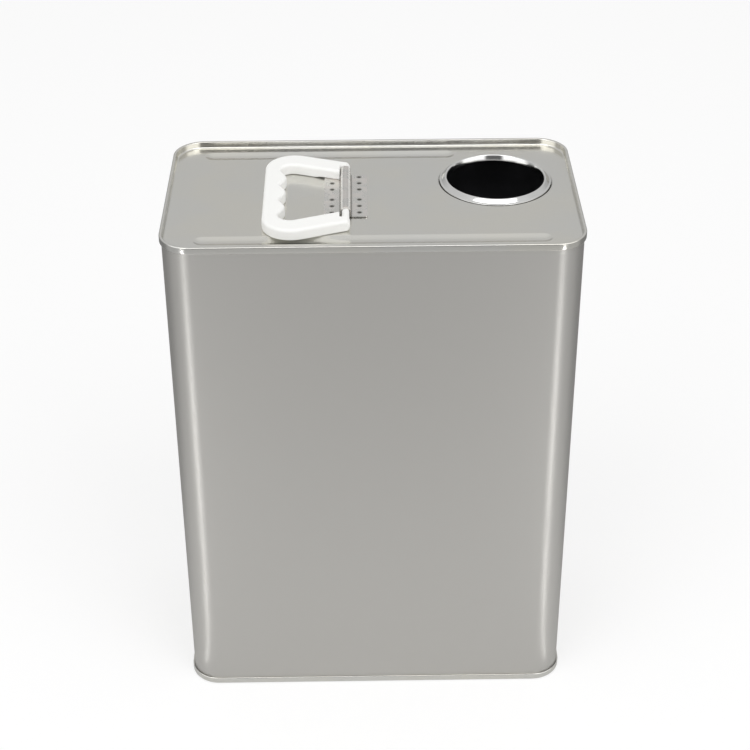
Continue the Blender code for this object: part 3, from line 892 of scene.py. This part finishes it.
def channel_places(sizes, lines, neck):
    """Centre and length of each channel: the rear one stops short of the neck."""
    half_length = lines.half_x - sizes.channel_end
    front_y = sizes.front_channel - lines.half_y
    rear_y = lines.half_y - sizes.rear_channel
    rear_end = half_length
    if neck:
        clear = flange_reach + sizes.seat_margin + sizes.channel_neck + sizes.channel_width / 2
        reach = math.sqrt(max(0.0, clear ** 2 - (rear_y - neck_centre.y) ** 2))
        rear_end = neck_centre.x - reach + sizes.channel_width / 2
    rear_length = half_length + rear_end
    return [(0.0, front_y, 2 * half_length), (rear_end - rear_length / 2, rear_y, rear_length)]


def neck_seat_rings(bm, sizes, hole_radius, face_z, inward):
    """Rings of the shallow seat round the pour hole, from its rim to the hole."""
    outer = flange_reach + sizes.seat_margin
    steps = [(outer + FLAT_RIM, 0.0)]
    for i in range(SEAT_RINGS + 1):
        part = i / SEAT_RINGS
        steps.append((outer - sizes.seat_wall * part, sizes.seat_depth * eased(part)))
    steps.append((hole_radius, sizes.seat_depth))
    rings = []
    for radius, depth in steps:
        circle = arc((neck_centre.x, neck_centre.y), radius, 0, 2 * math.pi, NECK_STEPS)[:-1]
        rings.append(add_loop(bm, circle, face_z + inward * depth))
    return rings


def add_panel_side(bm, sizes, lines, boundary, inward, hole_radius):
    """One side of an end's panel with its channels; returns the rim of the pour hole."""
    face_z = boundary[0].co.z
    holes = []
    for centre_x, centre_y, length_x in channel_places(sizes, lines, hole_radius > 0):
        rings = channel_rings(bm, sizes, centre_x, centre_y, length_x, face_z, inward)
        join_rings(bm, rings)
        fill_flat(bm, [rings[-1]])
        holes.append(rings[0])
    rim = None
    if hole_radius > 0:
        rings = neck_seat_rings(bm, sizes, hole_radius, face_z, inward)
        join_rings(bm, rings)
        holes.append(rings[0])
        rim = rings[-1]
    fill_flat(bm, [boundary] + holes)
    return rim


def build_end(context, name, node, top):
    """One end: a double-seam curl round a recessed panel. The top one has the pour hole."""
    sizes = context.scene.can_sizes
    neck = context.scene.can_neck
    lines = SeamLines(sizes)
    wall = neck_wall_radius(neck, sizes, lid_high.z - sizes.recess - sizes.seat_depth)
    hole_radius = wall + neck.plate / 2 / math.cos(neck.wall_flare) + neck.clearance if top else 0.0
    base = lines.height if top else 0.0
    inward = -1 if top else 1
    bm = bmesh.new()
    sides = []
    for side in sheet_sides(end_path(sizes, lines), sizes.plate):
        sides.append([add_loop(bm, lines.loop(offset), base + inward * depth) for offset, depth in side])
    for rings in sides:
        join_rings(bm, rings)
    join_loops(bm, sides[0][0], sides[1][0])
    rims = [add_panel_side(bm, sizes, lines, rings[-1], inward, hole_radius) for rings in sides]
    if top:
        join_loops(bm, rims[0], rims[1])
    end = new_object(bm, name, ["end_tinplate", "inner_lacquer"])
    inner_z = base + inward * (sizes.recess + sizes.plate * INSIDE_DEPTH_SHARE)
    for face in end.data.polygons:
        x, y, z = face.center
        hidden = inward * face.normal.z > INSIDE_TURN and inward * (z - inner_z) > 0
        within = max(abs(x) - lines.half_x, abs(y) - lines.half_y) < 0
        face.material_index = 1 if hidden and within else 0
    seat(end, "can", node)


class CAN_OT_ends(bpy.types.Operator):
    """Make the recessed lid and base with their channels and double seams"""

    bl_idname = "can.ends"
    bl_label = "Lid and base"

    def execute(self, context):
        build_end(context, "tin_lid", "top_end", True)
        build_end(context, "tin_base", "bottom_end", False)
        return {"FINISHED"}


class CAN_OT_seals(bpy.types.Operator):
    """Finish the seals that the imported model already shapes"""

    bl_idname = "can.seals"
    bl_label = "Seals"

    def execute(self, context):
        for node, name in [
            ("top_seam_seal", "sealing_compound"),
            ("bottom_seam_seal", "sealing_compound"),
            ("pour_neck_seal", "neck_film"),
        ]:
            mesh = frame["nodes"][node].data
            mesh.materials.clear()
            mesh.materials.append(material_named(name))
        return {"FINISHED"}


def neck_bend(neck, sizes):
    """Centre of the bend between wall and skirt, where its arc ends, and the skirt's height."""
    skirt_top = lid_high.z - sizes.recess - sizes.seat_depth - sizes.plate - neck.clinch
    skirt_top -= neck.plate / 2 / math.cos(neck.skirt_rise)
    radius = neck.bore + neck.plate / 2 + neck.skirt_round
    turn_end = 3 * math.pi / 2 + neck.skirt_rise
    skirt_run = neck.skirt_radius - (radius + neck.skirt_round * math.cos(turn_end))
    z = skirt_top - skirt_run * math.tan(neck.skirt_rise) - neck.skirt_round * math.sin(turn_end)
    return (radius, z), turn_end, skirt_top


def neck_wall_radius(neck, sizes, z):
    """Radius of the middle line of the neck's flared wall at a height."""
    (radius, bend_z), _, _ = neck_bend(neck, sizes)
    foot_radius = radius - neck.skirt_round * math.cos(neck.wall_flare)
    foot_z = bend_z + neck.skirt_round * math.sin(neck.wall_flare)
    return foot_radius + (z - foot_z) * math.tan(neck.wall_flare)


def neck_path(neck, sizes):
    """Middle line of the neck ring from its flange over its rim and down to its skirt."""
    panel_z = lid_high.z - sizes.recess
    flange_z = panel_z - sizes.seat_depth + 2 * neck.film_gap + neck.film + neck.plate / 2
    rim_z = panel_z + neck.rim_height - neck.plate / 2 - neck.rim_round
    wall_top = rim_z + neck.rim_round * math.sin(neck.wall_flare)
    rim_radius = neck_wall_radius(neck, sizes, wall_top) + neck.rim_round * math.cos(neck.wall_flare)
    rim_start = math.pi / 2 - neck.rim_slope
    over = arc((rim_radius, rim_z), neck.rim_round, rim_start, math.pi - neck.wall_flare, BEND_STEPS)
    slope_run = (over[0][1] - flange_z) / math.tan(neck.rim_slope)
    foot = Vector((over[0][0] + slope_run, flange_z))
    toe = Vector((min(foot.x + neck.rim_round, flange_reach), flange_z))
    shin = foot.lerp(Vector(over[0]), neck.rim_round / slope_run)
    bend_centre, turn_end, skirt_top = neck_bend(neck, sizes)
    path = [(flange_reach, flange_z)]
    for i in range(FILLET_STEPS + 1):
        part = i / FILLET_STEPS
        path.append(tuple(toe.lerp(foot, part).lerp(foot.lerp(shin, part), part)))
    path += over
    path += arc(bend_centre, neck.skirt_round, math.pi - neck.wall_flare, turn_end, BEND_STEPS)
    path.append((neck.skirt_radius, skirt_top))
    return path


class CAN_OT_neck(bpy.types.Operator):
    """Make the bright pour neck ring"""

    bl_idname = "can.neck"
    bl_label = "Pour neck"

    def execute(self, context):
        neck = context.scene.can_neck
        outline = sheet_outline(neck_path(neck, context.scene.can_sizes), neck.plate)
        edge_round = neck.plate * FLANGE_ROUND_SHARE
        edge = Vector(outline.pop()) - Vector((edge_round, edge_round))
        outline += arc(edge, edge_round, math.pi / 2, 0.0, FLANGE_STEPS)
        bm = bmesh.new()
        spokes = []
        for i in range(NECK_STEPS):
            angle = 2 * math.pi * i / NECK_STEPS
            across, along = math.cos(angle), math.sin(angle)
            spoke = []
            for radius, z in outline:
                place = (neck_centre.x + radius * across, neck_centre.y + radius * along, z)
                spoke.append(bm.verts.new(place))
            spokes.append(spoke)
        join_rings(bm, spokes, closed=True)
        ring = new_object(bm, "neck_ring", ["bright_tinplate"])
        seat(ring, "can", "pour_neck_ring")
        return {"FINISHED"}


def arch_inside(handle):
    """Inner radius of the strap's arch."""
    return handle.bar + handle.bar_clearance


def strap_path(strap, handle):
    """Middle line of the strap from tip to tip, about the bar's axis, in x and z."""
    arch = arch_inside(handle) + strap.plate / 2
    foot = strap.foot + strap.plate / 2
    flange_z = -(handle.arm_clearance + handle.thickness / 2 + strap.plate / 2)
    foot_x = arch + foot
    flat = round((strap_reach - foot_x) / strap.cell)
    half = [(strap_reach, flange_z)]
    half += spaced((strap_reach, flange_z), (foot_x, flange_z), flat)
    half += arc((foot_x, flange_z + foot), foot, -math.pi / 2, -math.pi, FILLET_STEPS)
    half += arc((0, 0), arch, 0, math.pi / 2, BEND_STEPS)
    mirrored = [(-x, z) for x, z in half[:-1]]
    return mirrored + half[::-1]


def weld_places(strap):
    """Places of the spot welds about the strap's middle."""
    places = []
    for column in (-1, 1):
        for side in (-1, 1):
            for i in range(strap.welds):
                y = strap.weld_shift + side * (strap.weld_group / 2 + i * strap.weld_pitch)
                places.append((column * strap.weld_offset, y))
    return places


def weld_dent(strap, distance):
    """Depth of a weld's dent and the strength of its mark at a distance from its middle."""
    ratio = distance / strap.weld_radius
    collar = math.exp(-((ratio - COLLAR_RADIUS_SHARE) * COLLAR_NARROWNESS) ** 2)
    dent = strap.weld_depth * math.exp(-ratio ** 4) - COLLAR_DEPTH_SHARE * strap.weld_depth * collar
    return dent, math.exp(-(ratio * MARK_NARROWNESS) ** 2)


def painted_highlight_and_shade(strap, handle, x, z):
    """Painted light at a point about the bar's axis: up to 1 for the painted highlight on the arch, down to
    -1 for the painted shade at its feet.
    """
    # Above the axis: painted highlight on the arch's shoulders
    if z > 0:
        return math.exp(-((math.atan2(z, abs(x)) - PAINTED_HIGHLIGHT_TURN) / PAINTED_HIGHLIGHT_WIDTH) ** 2)
    # Below the axis: painted shade at the arch's feet
    foot_x = arch_inside(handle) + strap.plate / 2 + strap.foot
    return -math.exp(-((abs(x) - foot_x) / (PAINTED_SHADE_SHARE * strap.foot)) ** 2)


def strap_column(bm, strap, handle, x, z, flange_top):
    """The vertices along the strap at one point of its path, with its dents, weld marks and painted light.
    """
    mark_layer = bm.verts.layers.float["weld_mark"]
    painted_light_layer = bm.verts.layers.float["painted_highlight_and_shade"]
    rows = round(strap_length / strap.cell)
    inset = max(0.0, abs(x) - (strap_reach - strap.corner))
    half = strap_length / 2 - (strap.corner - math.sqrt(max(0.0, strap.corner ** 2 - inset ** 2)))
    welds = weld_places(strap) if abs(x) > strap.weld_offset / 2 else []
    column = []
    for i in range(rows + 1):
        y = half * (2 * i / rows - 1)
        drop, mark = 0.0, 0.0
        for weld_x, weld_y in welds:
            dent, shade = weld_dent(strap, math.hypot(x - weld_x, y - weld_y))
            drop += dent if z > flange_top - strap.plate / 2 else 0.0
            mark += shade
        vertex = bm.verts.new((hinge.x + x, strap_centre.y + y, hinge.z + z - drop))
        vertex[mark_layer] = min(1.0, mark)
        vertex[painted_light_layer] = painted_highlight_and_shade(strap, handle, x, z)
        column.append(vertex)
    return column


def fill_grid(bm, columns):
    """Quads over a grid of vertices."""
    for first, second in zip(columns, columns[1:]):
        for i in range(len(first) - 1):
            bm.faces.new((first[i], first[i + 1], second[i + 1], second[i]))


def grid_rim(columns):
    """The vertices round the edge of a grid, in order."""
    rim = [column[0] for column in columns] + columns[-1][1:-1]
    return rim + [column[-1] for column in reversed(columns)] + columns[0][-2:0:-1]


class CAN_OT_strap(bpy.types.Operator):
    """Make the handle strap with its arch and its spot welds"""

    bl_idname = "can.strap"
    bl_label = "Handle strap"

    def execute(self, context):
        strap = context.scene.can_strap
        handle = context.scene.can_handle
        upper, lower = sheet_sides(strap_path(strap, handle), strap.plate)
        flange_top = max(upper[0][1], lower[0][1])
        bm = bmesh.new()
        bm.verts.layers.float.new("weld_mark")
        bm.verts.layers.float.new("painted_highlight_and_shade")
        sheets = []
        for side in (upper, lower):
            sheets.append([strap_column(bm, strap, handle, x, z, flange_top) for x, z in side])
        for columns in sheets:
            fill_grid(bm, columns)
        join_loops(bm, *[grid_rim(columns) for columns in sheets])
        made = new_object(bm, "handle_strap_tin", ["strap_tinplate"])
        seat(made, "can", "handle_strap")
        return {"FINISHED"}


def corner_centre(edge_x, radius, half_width, taper):
    """Centre of the arc that joins the grip's edge to an arm's edge."""
    x = edge_x + radius
    return (x, half_width - x * math.tan(taper) - radius / math.cos(taper))


def notch_size(handle, strap):
    """Half of the notch between the arms, and how far it reaches from the bar's axis to the grip."""
    reach = arch_inside(handle) + strap.plate + strap.foot + handle.notch_clearance
    return strap_length / 2 + handle.play, reach


def handle_stations(handle, strap):
    """Half of the handle from the middle of the grip to the end of one arm.

    Each station has its inner point, its outer point, half of its thickness and the drop
    of its underside.
    """
    notch_half, notch_reach = notch_size(handle, strap)
    outer_half = notch_half + handle.end_width
    inner_half = notch_half - handle.inner_inset
    half = handle.thickness / 2
    outer_x = -handle.reach
    hollow_x = outer_x + handle.grip_width - handle.finger_hollow / 2
    inner_centre = corner_centre(hollow_x, handle.inner_corner, inner_half, handle.inner_taper)
    outer_centre = corner_centre(outer_x, handle.outer_corner, outer_half, handle.outer_taper)
    pitch = 2 * inner_centre[1] / (handle.fingers - 1)
    stations = []
    for i in range(WAVE_STEPS):
        part = i / WAVE_STEPS
        inner_y = inner_centre[1] * part
        lobe = ((1 + math.cos(2 * math.pi * inner_y / pitch)) / 2) ** handle.finger_round
        inner = (hollow_x + handle.finger_hollow * lobe, inner_y)
        stations.append((inner, (outer_x, outer_centre[1] * part), half, handle.drop))
    corners = []
    for centre, radius, taper in [
        (inner_centre, handle.inner_corner, handle.inner_taper),
        (outer_centre, handle.outer_corner, handle.outer_taper),
    ]:
        corners.append(arc(centre, radius, math.pi, math.pi / 2 - taper, HANDLE_CORNER_STEPS))
    stations += [(inner, outer, half, handle.drop) for inner, outer in zip(*corners)]
    relief_end = -(strap_reach + handle.relief_margin)
    relief_start = relief_end - handle.relief_run
    arm = []
    for i in range(ARM_STEPS + 1):
        part = i / ARM_STEPS
        arm.append((relief_start + (relief_end - relief_start) * part, handle.drop * (1 - eased(part))))
    for i in range(1, NOTCH_STEPS + 1):
        arm.append((relief_end + (-notch_reach - relief_end) * i / NOTCH_STEPS, 0.0))
    for x, drop in arm:
        inner = (x, inner_half - x * math.tan(handle.inner_taper))
        outer = (x, outer_half - x * math.tan(handle.outer_taper))
        stations.append((inner, outer, half, drop))
    for i in range(ARM_END_STEPS + 1):
        angle = ARM_END_TURN * i / ARM_END_STEPS
        x = handle.end_reach * math.sin(angle)
        outer = (x, outer_half - handle.end_corner * (1 - math.cos(angle)))
        stations.append(((x, inner_half), outer, half * math.cos(angle), 0.0))
    return stations


def foot_share(handle, y):
    """How far the underside has stepped down at a place across the handle, from nothing to one."""
    part = (abs(y) - strap_length / 2 - handle.play - handle.foot_margin) / handle.foot_run
    return eased(min(1.0, max(0.0, part)))


def station_section(handle, inner, outer, half, drop):
    """The rounded section of the handle between an inner and an outer point.

    Past the strap's ends its underside steps down close to the lid.
    """
    low = half + drop / 2
    step = (handle.drop - drop) * 2 * half / handle.thickness
    across = Vector(outer) - Vector(inner)
    along = across.normalized()
    radius = min(handle.edge_round, half - SECTION_FLAT)
    low_radius = min(handle.lower_round, radius)
    points = []
    for offset, z in plan_loop(across.length / 2, low, radius, FILLET_STEPS, SECTION_STEPS, 2, low_radius):
        place = Vector(inner) + along * (across.length / 2 + offset)
        if z < 0:
            z += step * foot_share(handle, place.y) * z / low
        points.append((hinge.x + place.x, hinge.y + place.y, hinge.z + z - drop / 2))
    return points


def boolean_with(target, cutter, operation):
    """Adds or cuts the other solid for good, and removes it."""
    step = target.modifiers.new(operation.lower(), "BOOLEAN")
    step.operation = operation
    step.solver = "EXACT"
    step.object = cutter
    graph = bpy.context.evaluated_depsgraph_get()
    mesh = bpy.data.meshes.new_from_object(target.evaluated_get(graph))
    target.modifiers.clear()
    target.data = mesh
    bpy.data.objects.remove(cutter, do_unlink=True)


class CAN_OT_handle(bpy.types.Operator):
    """Make the moulded handle: grip, arms and the bar in the strap's arch"""

    bl_idname = "can.handle"
    bl_label = "Carry handle"

    def execute(self, context):
        handle = context.scene.can_handle
        strap = context.scene.can_strap
        half = handle_stations(handle, strap)
        mirrored = []
        for (inner_x, inner_y), (outer_x, outer_y), thickness, drop in half[:0:-1]:
            mirrored.append(((inner_x, -inner_y), (outer_x, -outer_y), thickness, drop))
        bm = bmesh.new()
        rings = []
        for station in mirrored + half:
            rings.append([bm.verts.new(point) for point in station_section(handle, *station)])
        join_rings(bm, rings)
        bm.faces.new(rings[0])
        bm.faces.new(rings[-1])
        made = new_object(bm, "folding_handle", ["white_polyethylene"])
        notch_half, notch_reach = notch_size(handle, strap)
        right = 2 * handle.end_reach
        notch = block((notch_reach + right, 2 * notch_half, 2 * handle.thickness))
        shift = Vector(((right - notch_reach) / 2, 0, 0))
        bmesh.ops.translate(notch, vec=hinge + shift, verts=notch.verts)
        boolean_with(made, new_object(notch, "notch", []), "DIFFERENCE")
        bar = bmesh.new()
        bmesh.ops.create_cone(
            bar, cap_ends=True, segments=BAR_STEPS, radius1=handle.bar, radius2=handle.bar,
            depth=2 * notch_half + handle.end_width,
        )
        bmesh.ops.rotate(bar, cent=(0, 0, 0), matrix=Matrix.Rotation(math.pi / 2, 3, "X"), verts=bar.verts)
        bmesh.ops.translate(bar, vec=hinge, verts=bar.verts)
        boolean_with(made, new_object(bar, "bar", []), "UNION")
        made.data.shade_smooth()
        made.data.set_sharp_from_angle(angle=SMOOTH_ANGLE)
        seat(made, "handle", "carry_handle")
        return {"FINISHED"}


def show_camera(tree, other, seen, surface):
    """Shows one shader to the camera and another to all other rays."""
    rays = tree.nodes.new("ShaderNodeLightPath")
    mix = tree.nodes.new("ShaderNodeMixShader")
    tree.links.new(rays.outputs["Is Camera Ray"], mix.inputs["Fac"])
    tree.links.new(other.outputs[0], mix.inputs[1])
    tree.links.new(seen.outputs[0], mix.inputs[2])
    tree.links.new(mix.outputs[0], surface)


def floor_material(studio):
    """A pale floor that meets the white background and keeps the can's shadow; to all rays but the camera's
    it shows a painted pool of light near the can and painted shade beside and behind it.
    """
    tree, shader, place = blank_material("pale_floor", WHITE, 0.6, 0.0)
    shader.inputs["Specular IOR Level"].default_value = 0.0
    away = tree.nodes.new("ShaderNodeVectorMath")
    away.operation = "LENGTH"
    tree.links.new(place, away.inputs[0])
    # Painted pool of light and painted shade on the floor, seen only in reflections
    pale = remap(tree, away.outputs["Value"], *FLOOR_PAINTED_FALLOFF, studio.floor_painted_near, studio.floor_painted_far)
    ways = tree.nodes.new("ShaderNodeSeparateXYZ")
    tree.links.new(place, ways.inputs[0])
    beside = remap(tree, math_node(tree, "ABSOLUTE", ways.outputs["X"]), *FLOOR_PAINTED_SHADE_BESIDE)
    dark = product(tree, beside, remap(tree, ways.outputs["Y"], *FLOOR_PAINTED_SHADE_BEHIND))
    shade = remap(tree, dark, 0.0, 1.0, 1.0, studio.floor_painted_shade)
    tree.links.new(product(tree, pale, shade), shader.inputs["Base Color"])
    seen = tree.nodes.new("ShaderNodeBsdfDiffuse")
    seen.inputs["Color"].default_value = (studio.floor_seen,) * 3 + (1.0,)
    lift = tree.nodes.new("ShaderNodeEmission")
    lift.inputs["Strength"].default_value = studio.lift
    both = tree.nodes.new("ShaderNodeAddShader")
    tree.links.new(seen.outputs[0], both.inputs[0])
    tree.links.new(lift.outputs[0], both.inputs[1])
    show_camera(tree, shader, both, tree.nodes["Material Output"].inputs["Surface"])


def sky_light(tree, level):
    """A white background at a level, which is a socket or a number."""
    node = tree.nodes.new("ShaderNodeBackground")
    node.inputs["Color"].default_value = WHITE
    feed(tree, node.inputs["Strength"], level)
    return node


def soft_light(name, power, size_x, size_y, turned):
    """A rectangular soft light that the camera doesn't see."""
    lamp = bpy.data.lights.new(name, "AREA")
    lamp.energy = power
    lamp.shape = "RECTANGLE"
    lamp.size = size_x
    lamp.size_y = size_y
    made = bpy.data.objects.new(name, lamp)
    made.visible_camera = False
    made.matrix_world = turned
    bpy.context.scene.collection.objects.link(made)


class CAN_OT_studio(bpy.types.Operator):
    """Make the pale floor, the soft light and the camera"""

    bl_idname = "can.studio"
    bl_label = "Studio"

    def execute(self, context):
        scene = context.scene
        studio = scene.can_studio
        self.add_floor(studio)
        self.add_sky(scene, studio)
        self.add_lights(studio)
        camera = bpy.data.cameras.new("camera")
        camera.lens = studio.lens
        camera.sensor_width = SENSOR_WIDTH
        eye = bpy.data.objects.new("camera", camera)
        turned = Matrix.Rotation(studio.yaw, 4, "Z") @ Matrix.Rotation(math.pi / 2 - studio.pitch, 4, "X")
        eye.matrix_world = Matrix.Translation(studio.eye) @ turned @ Matrix.Rotation(studio.roll, 4, "Z")
        scene.collection.objects.link(eye)
        scene.camera = eye
        scene.view_settings.view_transform = "Standard"
        return {"FINISHED"}

    def add_floor(self, studio):
        """The floor: a wide flat disc under the can."""
        bm = bmesh.new()
        bmesh.ops.create_circle(bm, cap_ends=True, segments=FLOOR_STEPS, radius=FLOOR_RADIUS)
        mesh = bpy.data.meshes.new("floor")
        bm.to_mesh(mesh)
        bm.free()
        floor_material(studio)
        mesh.materials.append(material_named("pale_floor"))
        floor = bpy.data.objects.new("floor", mesh)
        floor.location.z = -FLOOR_DROP
        bpy.context.scene.collection.objects.link(floor)

    def add_sky(self, scene, studio):
        """Soft light all round: dim at the horizon and in front, brighter above, white to the camera."""
        world = bpy.data.worlds.new("studio")
        world.use_nodes = True
        tree = world.node_tree
        tree.nodes.clear()
        out = tree.nodes.new("ShaderNodeOutputWorld")
        ways = tree.nodes.new("ShaderNodeSeparateXYZ")
        tree.links.new(tree.nodes.new("ShaderNodeTexCoord").outputs["Generated"], ways.inputs[0])
        height = ways.outputs["Z"]
        level = remap(tree, height, *SKY_RISE, studio.horizon, studio.sky)
        level = product(tree, level, remap(tree, height, *SKY_TOP, 1.0, studio.zenith))
        ahead = product(tree, ways.outputs["Y"], -1.0)
        turn_from_front = math_node(tree, "ABSOLUTE", math_node(tree, "ARCTAN2", ways.outputs["X"], ahead))
        level = product(tree, level, remap(tree, turn_from_front, *FRONT_GAP, studio.front, 1.0))
        opened = remap(tree, turn_from_front, *FRONT_GAP, 0.0, studio.wings)
        closed = remap(tree, turn_from_front, *WING_END, 1.0, 0.0)
        wing = product(tree, product(tree, opened, closed), remap(tree, height, *WING_TOP, 1.0, 0.0))
        level = math_node(tree, "ADD", level, wing)
        off_centre = math_node(tree, "SUBTRACT", turn_from_front, REAR_TURN)
        rear = remap(tree, math_node(tree, "ABSOLUTE", off_centre), *REAR_WIDTH, studio.rear, 0.0)
        rear = product(tree, rear, remap(tree, height, *REAR_TOP, 1.0, 0.0))
        level = math_node(tree, "ADD", level, rear)
        show_camera(tree, sky_light(tree, level), sky_light(tree, 1.0), out.inputs["Surface"])
        scene.world = world

    def add_lights(self, studio):
        """A large soft light above and in front, and low strips that widen away from the front corners."""
        place = Vector(KEY_PLACE)
        aim = (Vector(KEY_AIM) - place).to_track_quat("-Z", "Y").to_matrix().to_4x4()
        soft_light("front_light", studio.key, *KEY_SIZE, Matrix.Translation(place) @ aim)
        for side in (-1, 1):
            corner = Vector((side * lid_high.x, lid_low.y, STRIP_RISE))
            away = Vector((side * math.sin(STRIP_AZIMUTH), -math.cos(STRIP_AZIMUTH), 0.0))
            across = Vector((0, 0, 1)).cross(away)
            turned = Matrix((across, away, across.cross(away))).transposed().to_4x4()
            for near, far, width, level in STRIP_STEPS:
                power = studio.strip * level * math.pi * width * (far - near)
                middle = Matrix.Translation(corner + away * (near + far) / 2)
                soft_light(f"strip_{side}_{near}", power, width, far - near, middle @ turned)


class CAN_PT_panel(bpy.types.Panel):
    """Lists the steps that build the can"""

    bl_idname = "CAN_PT_panel"
    bl_label = "Tin can"
    bl_space_type = "VIEW_3D"
    bl_region_type = "UI"
    bl_category = "Tin can"

    def draw(self, context):
        for operator in STEPS:
            self.layout.operator(operator.bl_idname)
        for name in SETTINGS:
            group = getattr(context.scene, name)
            box = self.layout.box()
            for item in group.bl_rna.properties:
                if item.identifier not in ("rna_type", "name"):
                    box.prop(group, item.identifier)


STEPS = (
    CAN_OT_studio, CAN_OT_finishes, CAN_OT_body, CAN_OT_ends,
    CAN_OT_seals, CAN_OT_neck, CAN_OT_strap, CAN_OT_handle,
)
SETTINGS = {
    "can_sizes": TinCanSizes,
    "can_neck": PourNeckSizes,
    "can_strap": StrapSizes,
    "can_handle": HandleSizes,
    "can_finish": CanFinish,
    "can_studio": CanStudio,
}


def register():
    for group in SETTINGS.values():
        bpy.utils.register_class(group)
    for operator in STEPS + (CAN_PT_panel,):
        bpy.utils.register_class(operator)
    for name, group in SETTINGS.items():
        setattr(bpy.types.Scene, name, PointerProperty(type=group))


def unregister():
    for name in SETTINGS:
        delattr(bpy.types.Scene, name)
    for item in (CAN_PT_panel,) + STEPS[::-1] + tuple(SETTINGS.values()):
        bpy.utils.unregister_class(item)


def main():
    """Builds every piece and the studio."""
    register()
    bpy.ops.can.studio()
    bpy.ops.can.finishes()
    bpy.ops.can.body()
    bpy.ops.can.ends()
    bpy.ops.can.seals()
    bpy.ops.can.neck()
    bpy.ops.can.strap()
    bpy.ops.can.handle()


if __name__ == "__main__":
    main()
